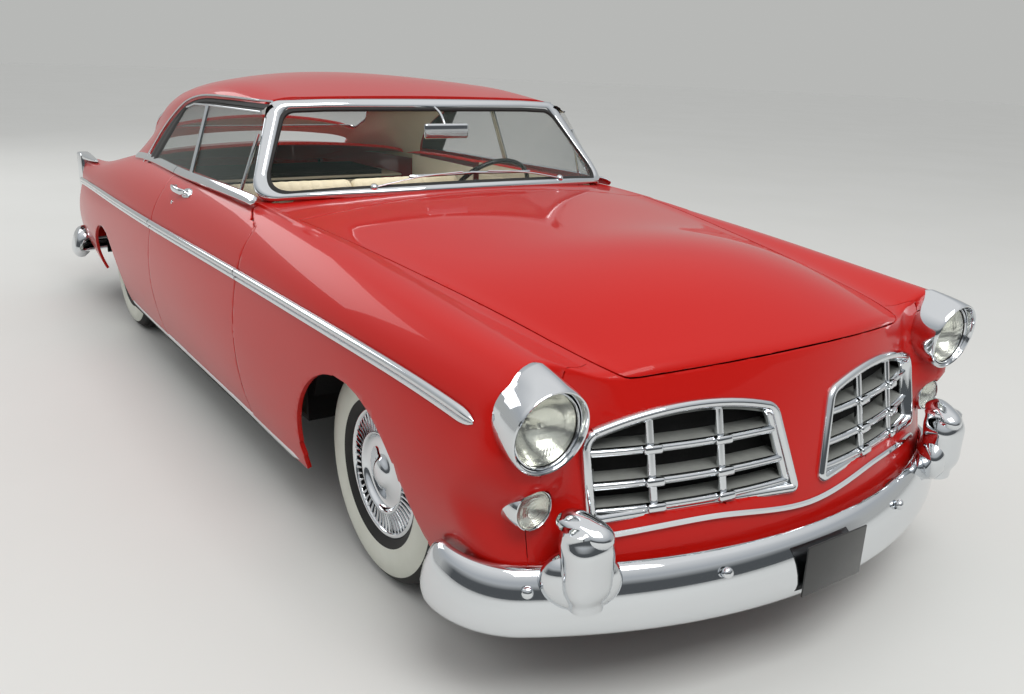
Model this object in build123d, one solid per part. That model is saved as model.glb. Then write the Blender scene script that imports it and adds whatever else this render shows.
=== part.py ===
from build123d import *
import math
import os
import numpy as np

# Two-door hardtop car of the mid 1950s. Millimetres, +Z up, the car faces -Y, its left side is +X.
# The origin is on the ground, midway between the bumpers' faces.

# Stance
WHEELBASE = 3200
FRONT_AXLE_Y = -1730
REAR_AXLE_Y = FRONT_AXLE_Y + WHEELBASE
FRONT_TRACK = 1529
REAR_TRACK = 1514
BUMPER_FACE_Y = 2780

# Tyres and wheels
TYRE_RADIUS = 366
TYRE_WIDTH = 212
HUB_BORE = 31
SPINDLE_RADIUS = 30

# Panels
SKIN = 26
PANEL_GAP = 6
DOOR_FRONT_Y = -850
DOOR_REAR_Y = 345
DOOR_INNER_X = 792
DOOR_LOW_Z = 274
DOOR_TUCK = 34
DOOR_TUCK_X = 1003
BELT_Z = 1062
COWL_FRONT_Y = -1010
HOOD_FRONT_Y = -2560
TRUNK_FRONT_Y = 1650
TRUNK_HALF = 610
TRUNK_LOW_Z = 560
ROOF_END_Y = 1634
BODY_LOW_Z = 200
OUTSIDE = 1100
AHEAD = -2800
BEHIND = 2800
ABOVE = 1200

# Lower body, one row a station
# columns: y, low x, low z, wide x, spear x, spear z, shoulder x, shoulder z,
#          crown x, crown z, valley x, valley z, centre z
WIDE_Z = 520
VOID_DROP = 120
BODY_STEPS = 18
ROOF_STEPS = 10
BODY_STATIONS = [
    (-2700, 830, 345, 900, 905, 735, 872, 825, 776, 872, 592, 820, 800),
    (-2560, 848, 340, 920, 920, 762, 886, 850, 790, 902, 604, 852, 905),
    (-2400, 866, 335, 942, 932, 785, 896, 868, 802, 925, 622, 882, 1008),
    (-1730, 922, 262, 974, 974, 826, 925, 930, 818, 996, 706, 974, 1076),
    (-850, 938, 250, 1002, 982, 822, 915, 975, 842, 1046, 780, 1046, 1108),
    (345, 938, 252, 1002, 984, 806, 912, 968, 838, 1046, 740, 1054, 1085),
    (1470, 922, 262, 984, 950, 780, 884, 940, 790, 1008, 660, 1022, 1062),
    (2200, 888, 305, 942, 900, 745, 876, 838, 812, 925, 668, 905, 955),
    (2700, 850, 350, 888, 856, 708, 846, 800, 806, 878, 668, 800, 838),
]

# Roof and pillars, one row a station
# columns: y, base x, rail x, rail z, crown x, crown z, top z
ROOF_BASE_Z = 985
ROOF_SKIN = 34
ROOF_STATIONS = [
    (-500, 852, 704, 1400, 650, 1420, 1428),
    (0, 853, 738, 1416, 640, 1476, 1502),
    (550, 851, 744, 1414, 620, 1494, 1527),
    (1000, 838, 722, 1390, 590, 1470, 1500),
    (1300, 806, 692, 1294, 560, 1366, 1394),
    (1580, 752, 676, 1108, 540, 1150, 1166),
    (1690, 722, 662, 1026, 530, 1050, 1058),
]
GLASS = 6
GLASS_SINK = 10
SIDE_WINDOW = [(-800, 960), (-800, 1402), (560, 1406), (840, 1380), (980, 1312), (1050, 1212), (1086, 960)]
QUARTER_LIGHT = [(152, 1062), (212, 1398), (560, 1398), (832, 1372), (968, 1306), (1036, 1210), (1062, 1062)]
DOOR_LIGHT = [(-600, 1062), (-428, 1392), (200, 1400), (140, 1062)]
BACK_WINDOW = [(-560, 1170), (560, 1170), (640, 1400), (640, 1540), (-640, 1540), (-640, 1400)]
# Side glass at its front, middle and rear: y, base x, base z, top x, top z
SIDE_GLASS = [(-700, 842, 1062, 736, 1402), (210, 842, 1062, 738, 1402), (1100, 816, 1062, 704, 1402)]

# Windshield: its base and top planes, with the half width, corner and centre of each
SHIELD_LOW_Z = 1052
SHIELD_BASE_HALF = 852
SHIELD_BASE_CORNER_Y = -690
SHIELD_BASE_CENTRE_Y = -1026
SHIELD_TOP_Z = 1418
SHIELD_TOP_HALF = 690
SHIELD_TOP_CORNER_Y = -462
SHIELD_TOP_CENTRE_Y = -524
FRAME_DEPTH = 44
SHIELD_SINK = 16
SHIELD_VIEW = [(-800, 1084), (-400, 1118), (400, 1118), (800, 1084), (664, 1392), (-664, 1392)]

# Front face: plan bow and lean
NOSE_CENTRE_Y = -2632
NOSE_BOW_X = 940
NOSE_BOW = 250
NOSE_LEAN = 12
NOSE_PIVOT_Z = 620

# Grille, one half; the other is its mirror image. Points are (x, z), with a radius for each corner.
GRILLE_IN_LOW = (40, 504)
GRILLE_IN_TOP = (110, 759)
GRILLE_CREST = (376, 800)
GRILLE_OUT_TOP = (686, 738)
GRILLE_OUT_LOW = (684, 514)
GRILLE_RADII = {GRILLE_IN_LOW: 24, GRILLE_IN_TOP: 50, GRILLE_OUT_TOP: 52, GRILLE_OUT_LOW: 34}
GRILLE_RIM = 26
RIM_BAND = (22, -34)
LOUVRE_BAND = (8, -42)
BAR_BAND = (2, -40)
KNUCKLE_BAND = (18, -20)
GRILLE_BITE = 6
LOUVRE = 14
LOUVRE_Z = (551, 605, 687)
BAR_X = (296, 502)
BAR = 20
KNUCKLE = (34, 27)

# Lamps: centre of each lens, then sizes
HEADLAMP = (824, -2520, 795)
HEADLAMP_LENS = 92
HEADLAMP_RIM = 108
HEADLAMP_BEZEL = 118
BEZEL_FRONT = 28
BEZEL_SLOPE = 0.14
BEZEL_LENGTH = 130
POD_RADIUS = 152
POD_FRONT_Y = -2480
POD_SLOPE = -0.27
POD_LENGTH = 120
PARKING_LAMP = (825, -2490, 570)
PARKING_LENS = 49
PARKING_SHELL = 60
PARKING_LENGTH = 120
LENS_DEPTH = 24
TAIL_LAMP_X = 826
TAIL_LAMP_WIDTH = 74
TAIL_LAMP_FRONT_Y = 2560
TAIL_LAMP_BACK_Y = 2712
TAIL_LAMP_LOW_Z = 560
TAIL_LAMP_TOP_Z = 892
TOWER_ROUND = 40
TAIL_LENS = 27
TAIL_LENS_Z = (636, 716)
TAIL_LENS_PROUD = 14

# Plan outline of the hood
HOOD_FRONT_CORNER = (612, -2408)
HOOD_CORNER = 60
HOOD_REAR_HALF = 812
HOOD_LIP_GAP = 12
HOOD_OPEN = 780
HOOD_INSET = 4

# The joint between the nose panel and each fender, in plan
NOSE_SPLIT = [(825, AHEAD), (825, -2491), (612, -2404), (612, -2330)]

# Tail
TAIL_CENTRE_Y = 2668
TAIL_BOW_X = 900
TAIL_BOW = 112
DECK_HALF = 690
DECK_FRONT_Y = 1100

# Cabin
CABIN_REAR_Y = 1180
COWL_BACK_Y = -950
COWL_SIDE_Y = -728
DOOR_TOP = [(-850, 984), (-700, 1036)]
FLOOR_HALF = 785
FLOOR_LOW_Z = 266
SHEET = 20
FIREWALL_Y = -1004
FIREWALL_TOP_Z = 1000
SILL_IN_X = 700
SILL_OUT_X = 930
SILL_LOW_Z = 232
SILL_REAR_Y = 1100
RISER_Y = 980
RISER_INSET = 180
TRUNK_FLOOR_HALF = 620
TRUNK_FLOOR_Z = 560
TRUNK_REAR_Y = 2560
SHELF_Z = 893
SHELF = 12
SHELF_REAR_GAP = 30
BULKHEAD_Y = 1165
HOUSING_RADIUS = 436
HOUSING_X = (612, 880)
HOUSING_WALL = 12
AXLE_SLOT = 70

# Front aprons and the radiator
APRON_X = (448, 460)
APRON_TOP_Z = 860
APRON_FRONT_Y = -2390
APRON_ARM_HOLE = (66, 300, 530)
BAY_RADIUS = 462
BAY_WALL = 12
BAY_LOW_Z = 480
RADIATOR = (330, 60, 420, 840)

# Engine as one plain block: half width, front, rear, low and high
ENGINE = (290, -2000, -1180, 330, 900)

# Dashboard and steering
DASH_HALF = 740
DASH_LINE = [(-960, 780), (-960, 1010), (-770, 1008), (-704, 944), (-716, 840), (-750, 780)]
WHEEL_CENTRE = (390, -480, 930)
COLUMN_SLOPE = 35
COLUMN_RADIUS = 24
COLUMN_REACH = (34, 588)
COLUMN_BRACKET = (30, -810, -765, 700, 780)
STEERING_RIM = 208
STEERING_GRIP = 13
STEERING_HUB = 46
SPOKE_WIDTH = 26
KINGPIN_INSET = 100
KINGPIN_X = FRONT_TRACK / 2 - KINGPIN_INSET
KINGPIN_Z = (240, 488)
KINGPIN_RADIUS = 20
BRAKE_DISC_RADIUS = 138
BRAKE_DISC_X = (21, 29)

# Seats in side view
FRONT_SEAT_HALF = 640
FRONT_SEAT = [(-380, 286), (-395, 520), (-350, 560), (110, 520), (232, 940), (285, 966), (335, 940), (290, 286)]
REAR_SEAT_HALF = 600
REAR_SEAT = [(560, 286), (545, 480), (590, 530), (920, 505), (1040, 850), (1090, 880), (1140, 860),
             (1030, 582), (978, 580), (978, 286)]

# Bumpers: blade, corner (x, y), side and end, then brackets and guards
BUMPER_LOW_Z = 243
BUMPER_HIGH_Z = 425
BUMPER_DEPTH = 50
BUMPER_ROLL = 26
BUMPER_LIP = 12
FRONT_CORNER = (866, 2540)
FRONT_SIDE_X = 1004
FRONT_END_Y = 2225
REAR_CORNER = (862, 2632)
REAR_SIDE_X = 992
REAR_END_Y = 2330
PLATE_THICK = 8
PLATE_DEPTH = 60
PLATE_HALF = 126
PLATE_Z = (262, 410)
BRACKET_X = 465
BRACKET_HALF = 35
FRONT_BRACKET = (-2690, -2520, 330, 395)
REAR_BRACKET = (2520, 2720, 300, 380)
# Guard, one row a level: z, centre x, centre y, half width, half depth
GUARD_LEVELS = [
    (272, 738, -2596, 26, 34),
    (360, 742, -2616, 50, 46),
    (470, 748, -2614, 56, 52),
    (560, 752, -2592, 46, 48),
]
GUARD_CAP = ((744, -2628, 592), (757, -2537, 614))
GUARD_CAP_RADIUS = 38

# Frame rails
RAIL_X = (430, 500)
RAIL_HEIGHT = 75
RAIL_LOW = [(-2520, 330), (-1480, 300), (-1150, 191), (1010, 191), (1240, 470), (1720, 470), (1950, 330), (2520, 330)]
IRON_ROOM = 8
CROSS_MEMBERS = [(-2470, 345), (-1060, 216), (0, 216), (900, 216), (1680, 490), (2480, 335)]
CROSS_HALF = 40
CROSS_HEIGHT = 46
FRONT_CROSS = (60, 250, 328)
WISHBONE_Z = (268, 456)
WISHBONE_RADIUS = 18
WISHBONE_IN_X = 420
WISHBONE_GAP = 22
SPRING_X = 470
SPRING_Z = (260, 470)
SPRING_RADIUS = 26

# Rear axle on leaf springs
AXLE_HALF = 640
AXLE_RADIUS = 42
DIFFERENTIAL = (122, -130, 120)
LEAF_X = 552
LEAF_HALF = 28
LEAF_Y = (1050, 2130)
LEAF_Z = (300, 322)
SADDLE = (34, 70, 300, 340)
HANGERS = [(500, 580, 1040, 1090, 276, 322), (500, 580, 2090, 2140, 300, 372)]

# Exhaust and tank
PIPE_X = 300
PIPE_Z = 184
PIPE_RADIUS = 24
PIPE_Y = (-1100, 1000)
MUFFLER_RADIUS = 32
MUFFLER_Y = (-60, 520)
TAIL_PIPE = ((300, 980, 184), (330, 2660, 240))
TANK_HALF = 300
TANK_Y = (1840, 2420)
TANK_LOW_Z = 360

# Wheel openings, as ellipses in side view: centre y, centre z, half length, half height
FRONT_ARCH = (-1737, 312, 386, 385)
REAR_ARCH = (1470, 300, 356, 306)


def mirrored(shape):
    return mirror(shape, about=Plane.YZ)


def block(x0, x1, y0, y1, z0, z1):
    return Pos((x0 + x1) / 2, (y0 + y1) / 2, (z0 + z1) / 2) * Box(x1 - x0, y1 - y0, z1 - z0)


def side_prism(points, x0, x1):
    # An outline in (y, z), drawn out along X from x0 to x1.
    face = make_face(Polyline([(x0, y, z) for y, z in points], close=True))
    return extrude(face, amount=x1 - x0, dir=(1, 0, 0))


def plan_prism(points, z0, z1):
    face = make_face(Polyline([(x, y, z0) for x, y in points], close=True))
    return extrude(face, amount=z1 - z0, dir=(0, 0, 1))


def front_prism(points, y0, y1):
    face = make_face(Polyline([(x, y0, z) for x, z in points], close=True))
    return extrude(face, amount=y1 - y0, dir=(0, 1, 0))


def rod(start, end, radius):
    # A round bar between two points.
    a, b = Vector(*start), Vector(*end)
    return Solid.make_cylinder(radius, (b - a).length, Plane(a, z_dir=(b - a)))


def lathe(profile, centre):
    # A solid of revolution about the line through centre along -Y. profile holds (radius, forward).
    plane = Plane(centre, x_dir=(1, 0, 0), z_dir=(0, -1, 0))
    face = make_face(Polyline([(r, forward) for r, forward in profile], close=True))
    return plane * revolve(Plane.XZ * face, Axis.Z)


def behind_slope(y, z, slope):
    # Everything behind a plane through (y, z) that comes forward by slope for each unit of height.
    low, high = BODY_LOW_Z, ABOVE
    line = [(y + (z - low) * slope, low), (y + (z - high) * slope, high), (BEHIND, high), (BEHIND, low)]
    return side_prism(line, -OUTSIDE, OUTSIDE)


def even_rows(rows, steps):
    # Rows at even steps along Y, read from a natural cubic through the given ones, for a loft without waves.
    table = np.array(rows, float)
    y, values = table[:, 0], table[:, 1:]
    gap = np.diff(y)
    system = np.eye(len(y))
    bend = np.zeros_like(values)
    for i in range(1, len(y) - 1):
        system[i, i - 1:i + 2] = gap[i - 1], 2 * (gap[i - 1] + gap[i]), gap[i]
        bend[i] = 6 * ((values[i + 1] - values[i]) / gap[i] - (values[i] - values[i - 1]) / gap[i - 1])
    bend = np.linalg.solve(system, bend)
    made = []
    for at in np.linspace(y[0], y[-1], steps + 1):
        i = int(np.clip(np.searchsorted(y, at) - 1, 0, len(y) - 2))
        t, u, h = at - y[i], y[i + 1] - at, gap[i]
        row = (bend[i] * u ** 3 + bend[i + 1] * t ** 3) / (6 * h)
        row = row + (values[i] / h - bend[i] * h / 6) * u + (values[i + 1] / h - bend[i + 1] * h / 6) * t
        made.append((float(at), *map(float, row)))
    return made


def body_section(row, inset):
    y, low_x, low_z, wide_x, spear_x, spear_z, sh_x, sh_z, crown_x, crown_z, val_x, val_z, centre_z = row
    low = (low_x - inset, y, low_z - (VOID_DROP if inset else 0))
    wide = (wide_x - inset, y, WIDE_Z)
    spear = (spear_x - inset, y, spear_z)
    shoulder = (sh_x - inset, y, sh_z - inset * 0.5)
    crown = (crown_x - inset * 0.4, y, crown_z - inset)
    valley = (val_x, y, val_z - inset)
    centre = (0, y, centre_z - inset)

    def flip(p):
        return (-p[0], p[1], p[2])
    edges = [
        Line(flip(low), low),
        ThreePointArc(low, wide, spear),
        ThreePointArc(spear, shoulder, crown),
        Line(crown, valley),
        ThreePointArc(valley, centre, flip(valley)),
        Line(flip(valley), flip(crown)),
        ThreePointArc(flip(crown), flip(shoulder), flip(spear)),
        ThreePointArc(flip(spear), flip(wide), flip(low)),
    ]
    return make_face(Wire([e.edge() for e in edges]))


def roof_section(row, inset):
    y, base_x, rail_x, rail_z, crown_x, crown_z, top_z = row
    base = (base_x - inset, y, ROOF_BASE_Z - (40 if inset else 0))
    rail = (rail_x - inset, y, rail_z - inset * 0.5)
    crown = (crown_x - inset * 0.5, y, crown_z - inset)
    top = (0, y, top_z - inset)
    mid = (crown[0] + (rail[0] - crown[0]) * 0.62, y, rail[2] + (crown[2] - rail[2]) * 0.62)

    def flip(p):
        return (-p[0], p[1], p[2])
    edges = [
        Line(flip(base), base),
        Line(base, rail),
        ThreePointArc(rail, mid, crown),
        ThreePointArc(crown, top, flip(crown)),
        ThreePointArc(flip(crown), flip(mid), flip(rail)),
        Line(flip(rail), flip(base)),
    ]
    return make_face(Wire([e.edge() for e in edges]))


def nose_side(forward):
    # Everything behind the bowed and leaning front face, moved forward by the given distance.
    centre = (0, NOSE_CENTRE_Y - forward, 0)
    side = (NOSE_BOW_X, NOSE_CENTRE_Y + NOSE_BOW - forward, 0)
    reach = (side[0] + 200, side[1], 0)
    rear = (reach[0], 3200, 0)
    edges = [
        ThreePointArc((-side[0], side[1], 0), centre, side),
        Line(side, reach),
        Line(reach, rear),
        Line(rear, (-rear[0], rear[1], 0)),
        Line((-rear[0], rear[1], 0), (-reach[0], reach[1], 0)),
        Line((-reach[0], reach[1], 0), (-side[0], side[1], 0)),
    ]
    face = make_face(Wire([e.edge() for e in edges]))
    solid = extrude(Pos(0, 0, -600) * face, amount=3200, dir=(0, 0, 1))
    return solid.rotate(Axis((0, NOSE_CENTRE_Y, NOSE_PIVOT_Z), (1, 0, 0)), -NOSE_LEAN)


def tail_side(forward):
    # Everything ahead of the bowed rear face, moved forward by the given distance.
    centre = (0, TAIL_CENTRE_Y - forward, 0)
    side = (TAIL_BOW_X, TAIL_CENTRE_Y - TAIL_BOW - forward, 0)
    reach = (side[0] + 200, side[1], 0)
    front = (reach[0], -3200, 0)
    edges = [
        ThreePointArc((-side[0], side[1], 0), centre, side),
        Line(side, reach),
        Line(reach, front),
        Line(front, (-front[0], front[1], 0)),
        Line((-front[0], front[1], 0), (-reach[0], reach[1], 0)),
        Line((-reach[0], reach[1], 0), (-side[0], side[1], 0)),
    ]
    face = make_face(Wire([e.edge() for e in edges]))
    return extrude(face, amount=1600, dir=(0, 0, 1))


def band(reach):
    # The layer between two offsets of the front face.
    return nose_side(reach[0]) - nose_side(reach[1])


def hood_outline(grow, lip):
    fx, fy = HOOD_FRONT_CORNER
    front = (fx + grow, fy - lip)
    rear = (HOOD_REAR_HALF + grow, COWL_FRONT_Y - PANEL_GAP + grow)
    edges = [
        ThreePointArc((-front[0], front[1]), (0, HOOD_FRONT_Y - lip), front),
        Line(front, rear),
        Line(rear, (-rear[0], rear[1])),
        Line((-rear[0], rear[1]), (-front[0], front[1])),
    ]
    face = make_face(Wire([e.edge() for e in edges]))
    face = fillet(face.vertices().sort_by(Axis.Y)[:2], HOOD_CORNER)
    return extrude(Pos(0, 0, HOOD_OPEN) * face, amount=400, dir=(0, 0, 1))


def arch(spec):
    y, z, half_length, half_height = spec
    ring = Plane((-ABOVE, y, z), x_dir=(0, 1, 0), z_dir=(1, 0, 0)) * Ellipse(half_length, half_height)
    hole = extrude(ring, amount=2 * ABOVE, dir=(1, 0, 0))
    return hole + block(-ABOVE, ABOVE, y - half_length, y + half_length, 0, z)


def shield_face(t, front, back):
    # The windshield's plan at a height: t is 0 at its base plane and 1 at its top plane.
    half = SHIELD_BASE_HALF + (SHIELD_TOP_HALF - SHIELD_BASE_HALF) * t
    corner_y = SHIELD_BASE_CORNER_Y + (SHIELD_TOP_CORNER_Y - SHIELD_BASE_CORNER_Y) * t
    centre_y = SHIELD_BASE_CENTRE_Y + (SHIELD_TOP_CENTRE_Y - SHIELD_BASE_CENTRE_Y) * t
    z = SHIELD_LOW_Z + (SHIELD_TOP_Z - SHIELD_LOW_Z) * t
    a = [(-half, corner_y + front, z), (0, centre_y + front, z), (half, corner_y + front, z)]
    b = [(half, corner_y + back, z), (0, centre_y + back, z), (-half, corner_y + back, z)]
    edges = [ThreePointArc(*a), Line(a[2], b[0]), ThreePointArc(*b), Line(b[2], a[0])]
    return make_face(Wire([e.edge() for e in edges]))


def shield_slab(front, back):
    return loft([shield_face(0, front, back), shield_face(1, front, back)], ruled=True)


def pane(front, rear, thick):
    # A leaning side pane between two rows of SIDE_GLASS.
    faces = []
    for y, base_x, base_z, top_x, top_z in (front, rear):
        corners = [(base_x, y, base_z), (base_x - thick, y, base_z), (top_x - thick, y, top_z), (top_x, y, top_z)]
        faces.append(make_face(Polyline(corners, close=True)))
    return loft(faces, ruled=True)


def sided(point, side):
    return (side * point[0], point[1], point[2])


def lamp_barrel(centre, radius, front, rear):
    x, y, z = centre
    return rod((x, y - front, z), (x, y + rear, z), radius)


def lamp_pod(centre):
    # The body's forward sleeve round a headlamp, flush with the body's side.
    x, y, z = centre
    sleeve = rod((x, POD_FRONT_Y - POD_LENGTH, z), (x, POD_FRONT_Y + POD_LENGTH, z), POD_RADIUS)
    return sleeve & behind_slope(POD_FRONT_Y, z, POD_SLOPE)


# Body shell: the outer form less its hollow
body_rows = even_rows(BODY_STATIONS, BODY_STEPS)
roof_rows = even_rows(ROOF_STATIONS, ROOF_STEPS)
body_outer = loft([body_section(row, 0) for row in body_rows])
body_void = loft([body_section(row, SKIN) for row in body_rows])
pods = Part() + lamp_pod(HEADLAMP) + lamp_pod(sided(HEADLAMP, -1))
tail_outer = tail_side(0)
shell = body_outer & (nose_side(0) + pods) & tail_outer
shell = shell - (body_void & nose_side(-SKIN) & tail_side(SKIN))

pieces = {}
front_y = DOOR_FRONT_Y - PANEL_GAP / 2
rear_y = DOOR_REAR_Y + PANEL_GAP / 2
side = DOOR_INNER_X
cabin_edge = [
    ThreePointArc((-side, COWL_SIDE_Y, 0), (0, COWL_BACK_Y, 0), (side, COWL_SIDE_Y, 0)),
    Line((side, COWL_SIDE_Y, 0), (side, CABIN_REAR_Y, 0)),
    Line((side, CABIN_REAR_Y, 0), (-side, CABIN_REAR_Y, 0)),
    Line((-side, CABIN_REAR_Y, 0), (-side, COWL_SIDE_Y, 0)),
]
cabin = extrude(make_face(Wire([e.edge() for e in cabin_edge])), amount=1400, dir=(0, 0, 1))
(corner_y, corner_z), (ledge_y, ledge_z) = DOOR_TOP
notch = [(-OUTSIDE, corner_z), (corner_y - PANEL_GAP / 2, corner_z), (ledge_y, ledge_z), (ledge_y, ABOVE), (-OUTSIDE, ABOVE)]
door_top = side_prism(notch, 0, OUTSIDE)
door_top_gap = side_prism([(y + PANEL_GAP, z - PANEL_GAP) for y, z in notch], 0, OUTSIDE)

# Front end: hood, fenders, nose panel and cowl
front_zone = block(-OUTSIDE, OUTSIDE, AHEAD, front_y, BODY_LOW_Z, ABOVE) + door_top + mirrored(door_top)
wings = (shell & front_zone) - arch(FRONT_ARCH) - cabin
wings = wings - hood_outline(PANEL_GAP, HOOD_LIP_GAP)
pieces["hood"] = shell & hood_outline(-HOOD_INSET, 0)
lamp_holes = Part()
for side in (-1, 1):
    lamp_holes += lamp_barrel(sided(HEADLAMP, side), HEADLAMP_BEZEL, 200, 400)
    lamp_holes += lamp_barrel(sided(PARKING_LAMP, side), PARKING_SHELL, 200, 400)
wings = wings - lamp_holes
nose_line = NOSE_SPLIT + [(-x, y) for x, y in reversed(NOSE_SPLIT)]
nose_zone = plan_prism(nose_line, BODY_LOW_Z, ABOVE)
cowl_half = HOOD_REAR_HALF + PANEL_GAP
cowl_zone = block(-cowl_half, cowl_half, COWL_FRONT_Y, -600, 900, ABOVE)
pieces["cowl"] = (shell & front_zone & cowl_zone) - cabin


def grille_outline(inset):
    edges = [
        Line(GRILLE_IN_LOW, GRILLE_IN_TOP),
        ThreePointArc(GRILLE_IN_TOP, GRILLE_CREST, GRILLE_OUT_TOP),
        Line(GRILLE_OUT_TOP, GRILLE_OUT_LOW),
        Line(GRILLE_OUT_LOW, GRILLE_IN_LOW),
    ]
    face = make_face(Wire([e.edge() for e in edges]))
    for (x, z), radius in GRILLE_RADII.items():
        nearest = face.vertices().sort_by_distance((x, z, 0))[0]
        face = fillet(nearest, radius)
    face = offset(face, -inset) if inset else face
    flat = Plane((0, AHEAD, 0), x_dir=(1, 0, 0), z_dir=(0, -1, 0)) * face
    return extrude(flat, amount=500, dir=(0, 1, 0))


opening = grille_outline(0)
iron_top = RAIL_LOW[0][1] + RAIL_HEIGHT + IRON_ROOM
iron = block(RAIL_X[0] - IRON_ROOM, RAIL_X[1] + IRON_ROOM, AHEAD, BEHIND, 0, iron_top)
iron_slots = iron + mirrored(iron)
pieces["nose_panel"] = (wings & nose_zone) - opening - mirrored(opening) - iron_slots
fenders = wings - nose_zone - cowl_zone
pieces["fender_left"] = fenders & block(0, OUTSIDE, AHEAD, 0, BODY_LOW_Z, ABOVE)
pieces["fender_right"] = mirrored(pieces["fender_left"])

# Grille: a rim, louvres, upright bars and the knuckles where they cross, each in its own layer of the front face
inside = grille_outline(GRILLE_RIM - GRILLE_BITE)
half = band(RIM_BAND) & (opening - grille_outline(GRILLE_RIM))
for z in LOUVRE_Z:
    half += band(LOUVRE_BAND) & inside & block(0, OUTSIDE, AHEAD, -2300, z - LOUVRE / 2, z + LOUVRE / 2)
for x in BAR_X:
    half += band(BAR_BAND) & inside & block(x - BAR / 2, x + BAR / 2, AHEAD, -2300, 400, 900)
    for z in LOUVRE_Z[1:]:
        wide, high = KNUCKLE
        half += band(KNUCKLE_BAND) & block(x - wide / 2, x + wide / 2, AHEAD, -2300, z - high / 2, z + high / 2)
pieces["grille"] = half + mirrored(half)

# Lamps: hooded bezels with a round lens each, and small parking lamps below
bezel_line = [
    (0, -BEZEL_LENGTH), (HEADLAMP_BEZEL, -BEZEL_LENGTH), (HEADLAMP_BEZEL, -24), (HEADLAMP_RIM, 70),
    (HEADLAMP_RIM - 8, 70), (HEADLAMP_LENS + 2, 8), (HEADLAMP_LENS, 0), (HEADLAMP_LENS, -LENS_DEPTH), (0, -LENS_DEPTH),
]
parking_line = [
    (0, -PARKING_LENGTH), (PARKING_SHELL, -PARKING_LENGTH), (PARKING_SHELL, -26), (PARKING_LENS + 6, 14),
    (PARKING_LENS + 2, 14), (PARKING_LENS, 6), (PARKING_LENS, -LENS_DEPTH), (0, -LENS_DEPTH),
]
bezels, lenses = Part(), Part()
for side in (-1, 1):
    head, park = sided(HEADLAMP, side), sided(PARKING_LAMP, side)
    bezels += lathe(bezel_line, head) & behind_slope(HEADLAMP[1] - BEZEL_FRONT, HEADLAMP[2], BEZEL_SLOPE)
    bezels += lathe(parking_line, park)
    lenses += lamp_barrel(head, HEADLAMP_LENS, 4, LENS_DEPTH)
    lenses += lamp_barrel(park, PARKING_LENS, 4, LENS_DEPTH)
pieces["lamp_shells"] = bezels
pieces["front_lenses"] = lenses

# Doors
door_y0 = DOOR_FRONT_Y + PANEL_GAP / 2
door_y1 = DOOR_REAR_Y - PANEL_GAP / 2
door_plan = [(DOOR_INNER_X, door_y0), (OUTSIDE, door_y0), (OUTSIDE, door_y1), (DOOR_TUCK_X, door_y1),
             (DOOR_INNER_X, door_y1 - DOOR_TUCK)]
door = (body_outer & plan_prism(door_plan, DOOR_LOW_Z, BELT_Z)) - door_top_gap
pieces["door_left"] = door
pieces["door_right"] = mirrored(door)
glass_front, glass_mid, glass_rear = SIDE_GLASS
door_glass = pane(glass_front, glass_mid, GLASS) & side_prism(DOOR_LIGHT, 600, 900)
pieces["door_glass_left"] = door_glass
pieces["door_glass_right"] = mirrored(door_glass)

# Rear body: quarter panels, deck, trunk lid and the lamp towers
rear = (shell & block(-OUTSIDE, OUTSIDE, rear_y, BEHIND, BODY_LOW_Z, ABOVE)) - arch(REAR_ARCH) - cabin
tower_x = (TAIL_LAMP_X - TAIL_LAMP_WIDTH / 2, TAIL_LAMP_X + TAIL_LAMP_WIDTH / 2)
tower = block(*tower_x, TAIL_LAMP_FRONT_Y, TAIL_LAMP_BACK_Y, TAIL_LAMP_LOW_Z, TAIL_LAMP_TOP_Z)
rear = rear - tower - mirrored(tower)
tower = fillet(tower.edges().filter_by(Axis.X).group_by(Axis.Y)[-1], TOWER_ROUND)
tower = fillet(tower.edges().filter_by(Axis.Z).group_by(Axis.Y)[-1], TOWER_ROUND / 2)
for z in TAIL_LENS_Z:
    tower += rod((TAIL_LAMP_X, TAIL_LAMP_FRONT_Y + 40, z), (TAIL_LAMP_X, TAIL_LAMP_BACK_Y + TAIL_LENS_PROUD, z), TAIL_LENS)
pieces["tail_lamps"] = tower + mirrored(tower)
lid_zone = block(-TRUNK_HALF, TRUNK_HALF, TRUNK_FRONT_Y, BEHIND, TRUNK_LOW_Z, ABOVE)
lid_gap = block(-TRUNK_HALF - PANEL_GAP, TRUNK_HALF + PANEL_GAP, TRUNK_FRONT_Y - PANEL_GAP, BEHIND,
                TRUNK_LOW_Z - PANEL_GAP, ABOVE)
deck_zone = block(-DECK_HALF, DECK_HALF, DECK_FRONT_Y, BEHIND, BODY_LOW_Z, ABOVE)
pieces["trunk_lid"] = shell & lid_zone
pieces["rear_deck"] = (rear & deck_zone) - lid_gap - iron_slots
pieces["quarter_left"] = (rear - deck_zone) & block(0, OUTSIDE, rear_y, BEHIND, BODY_LOW_Z, ABOVE)
pieces["quarter_right"] = mirrored(pieces["quarter_left"])

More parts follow.
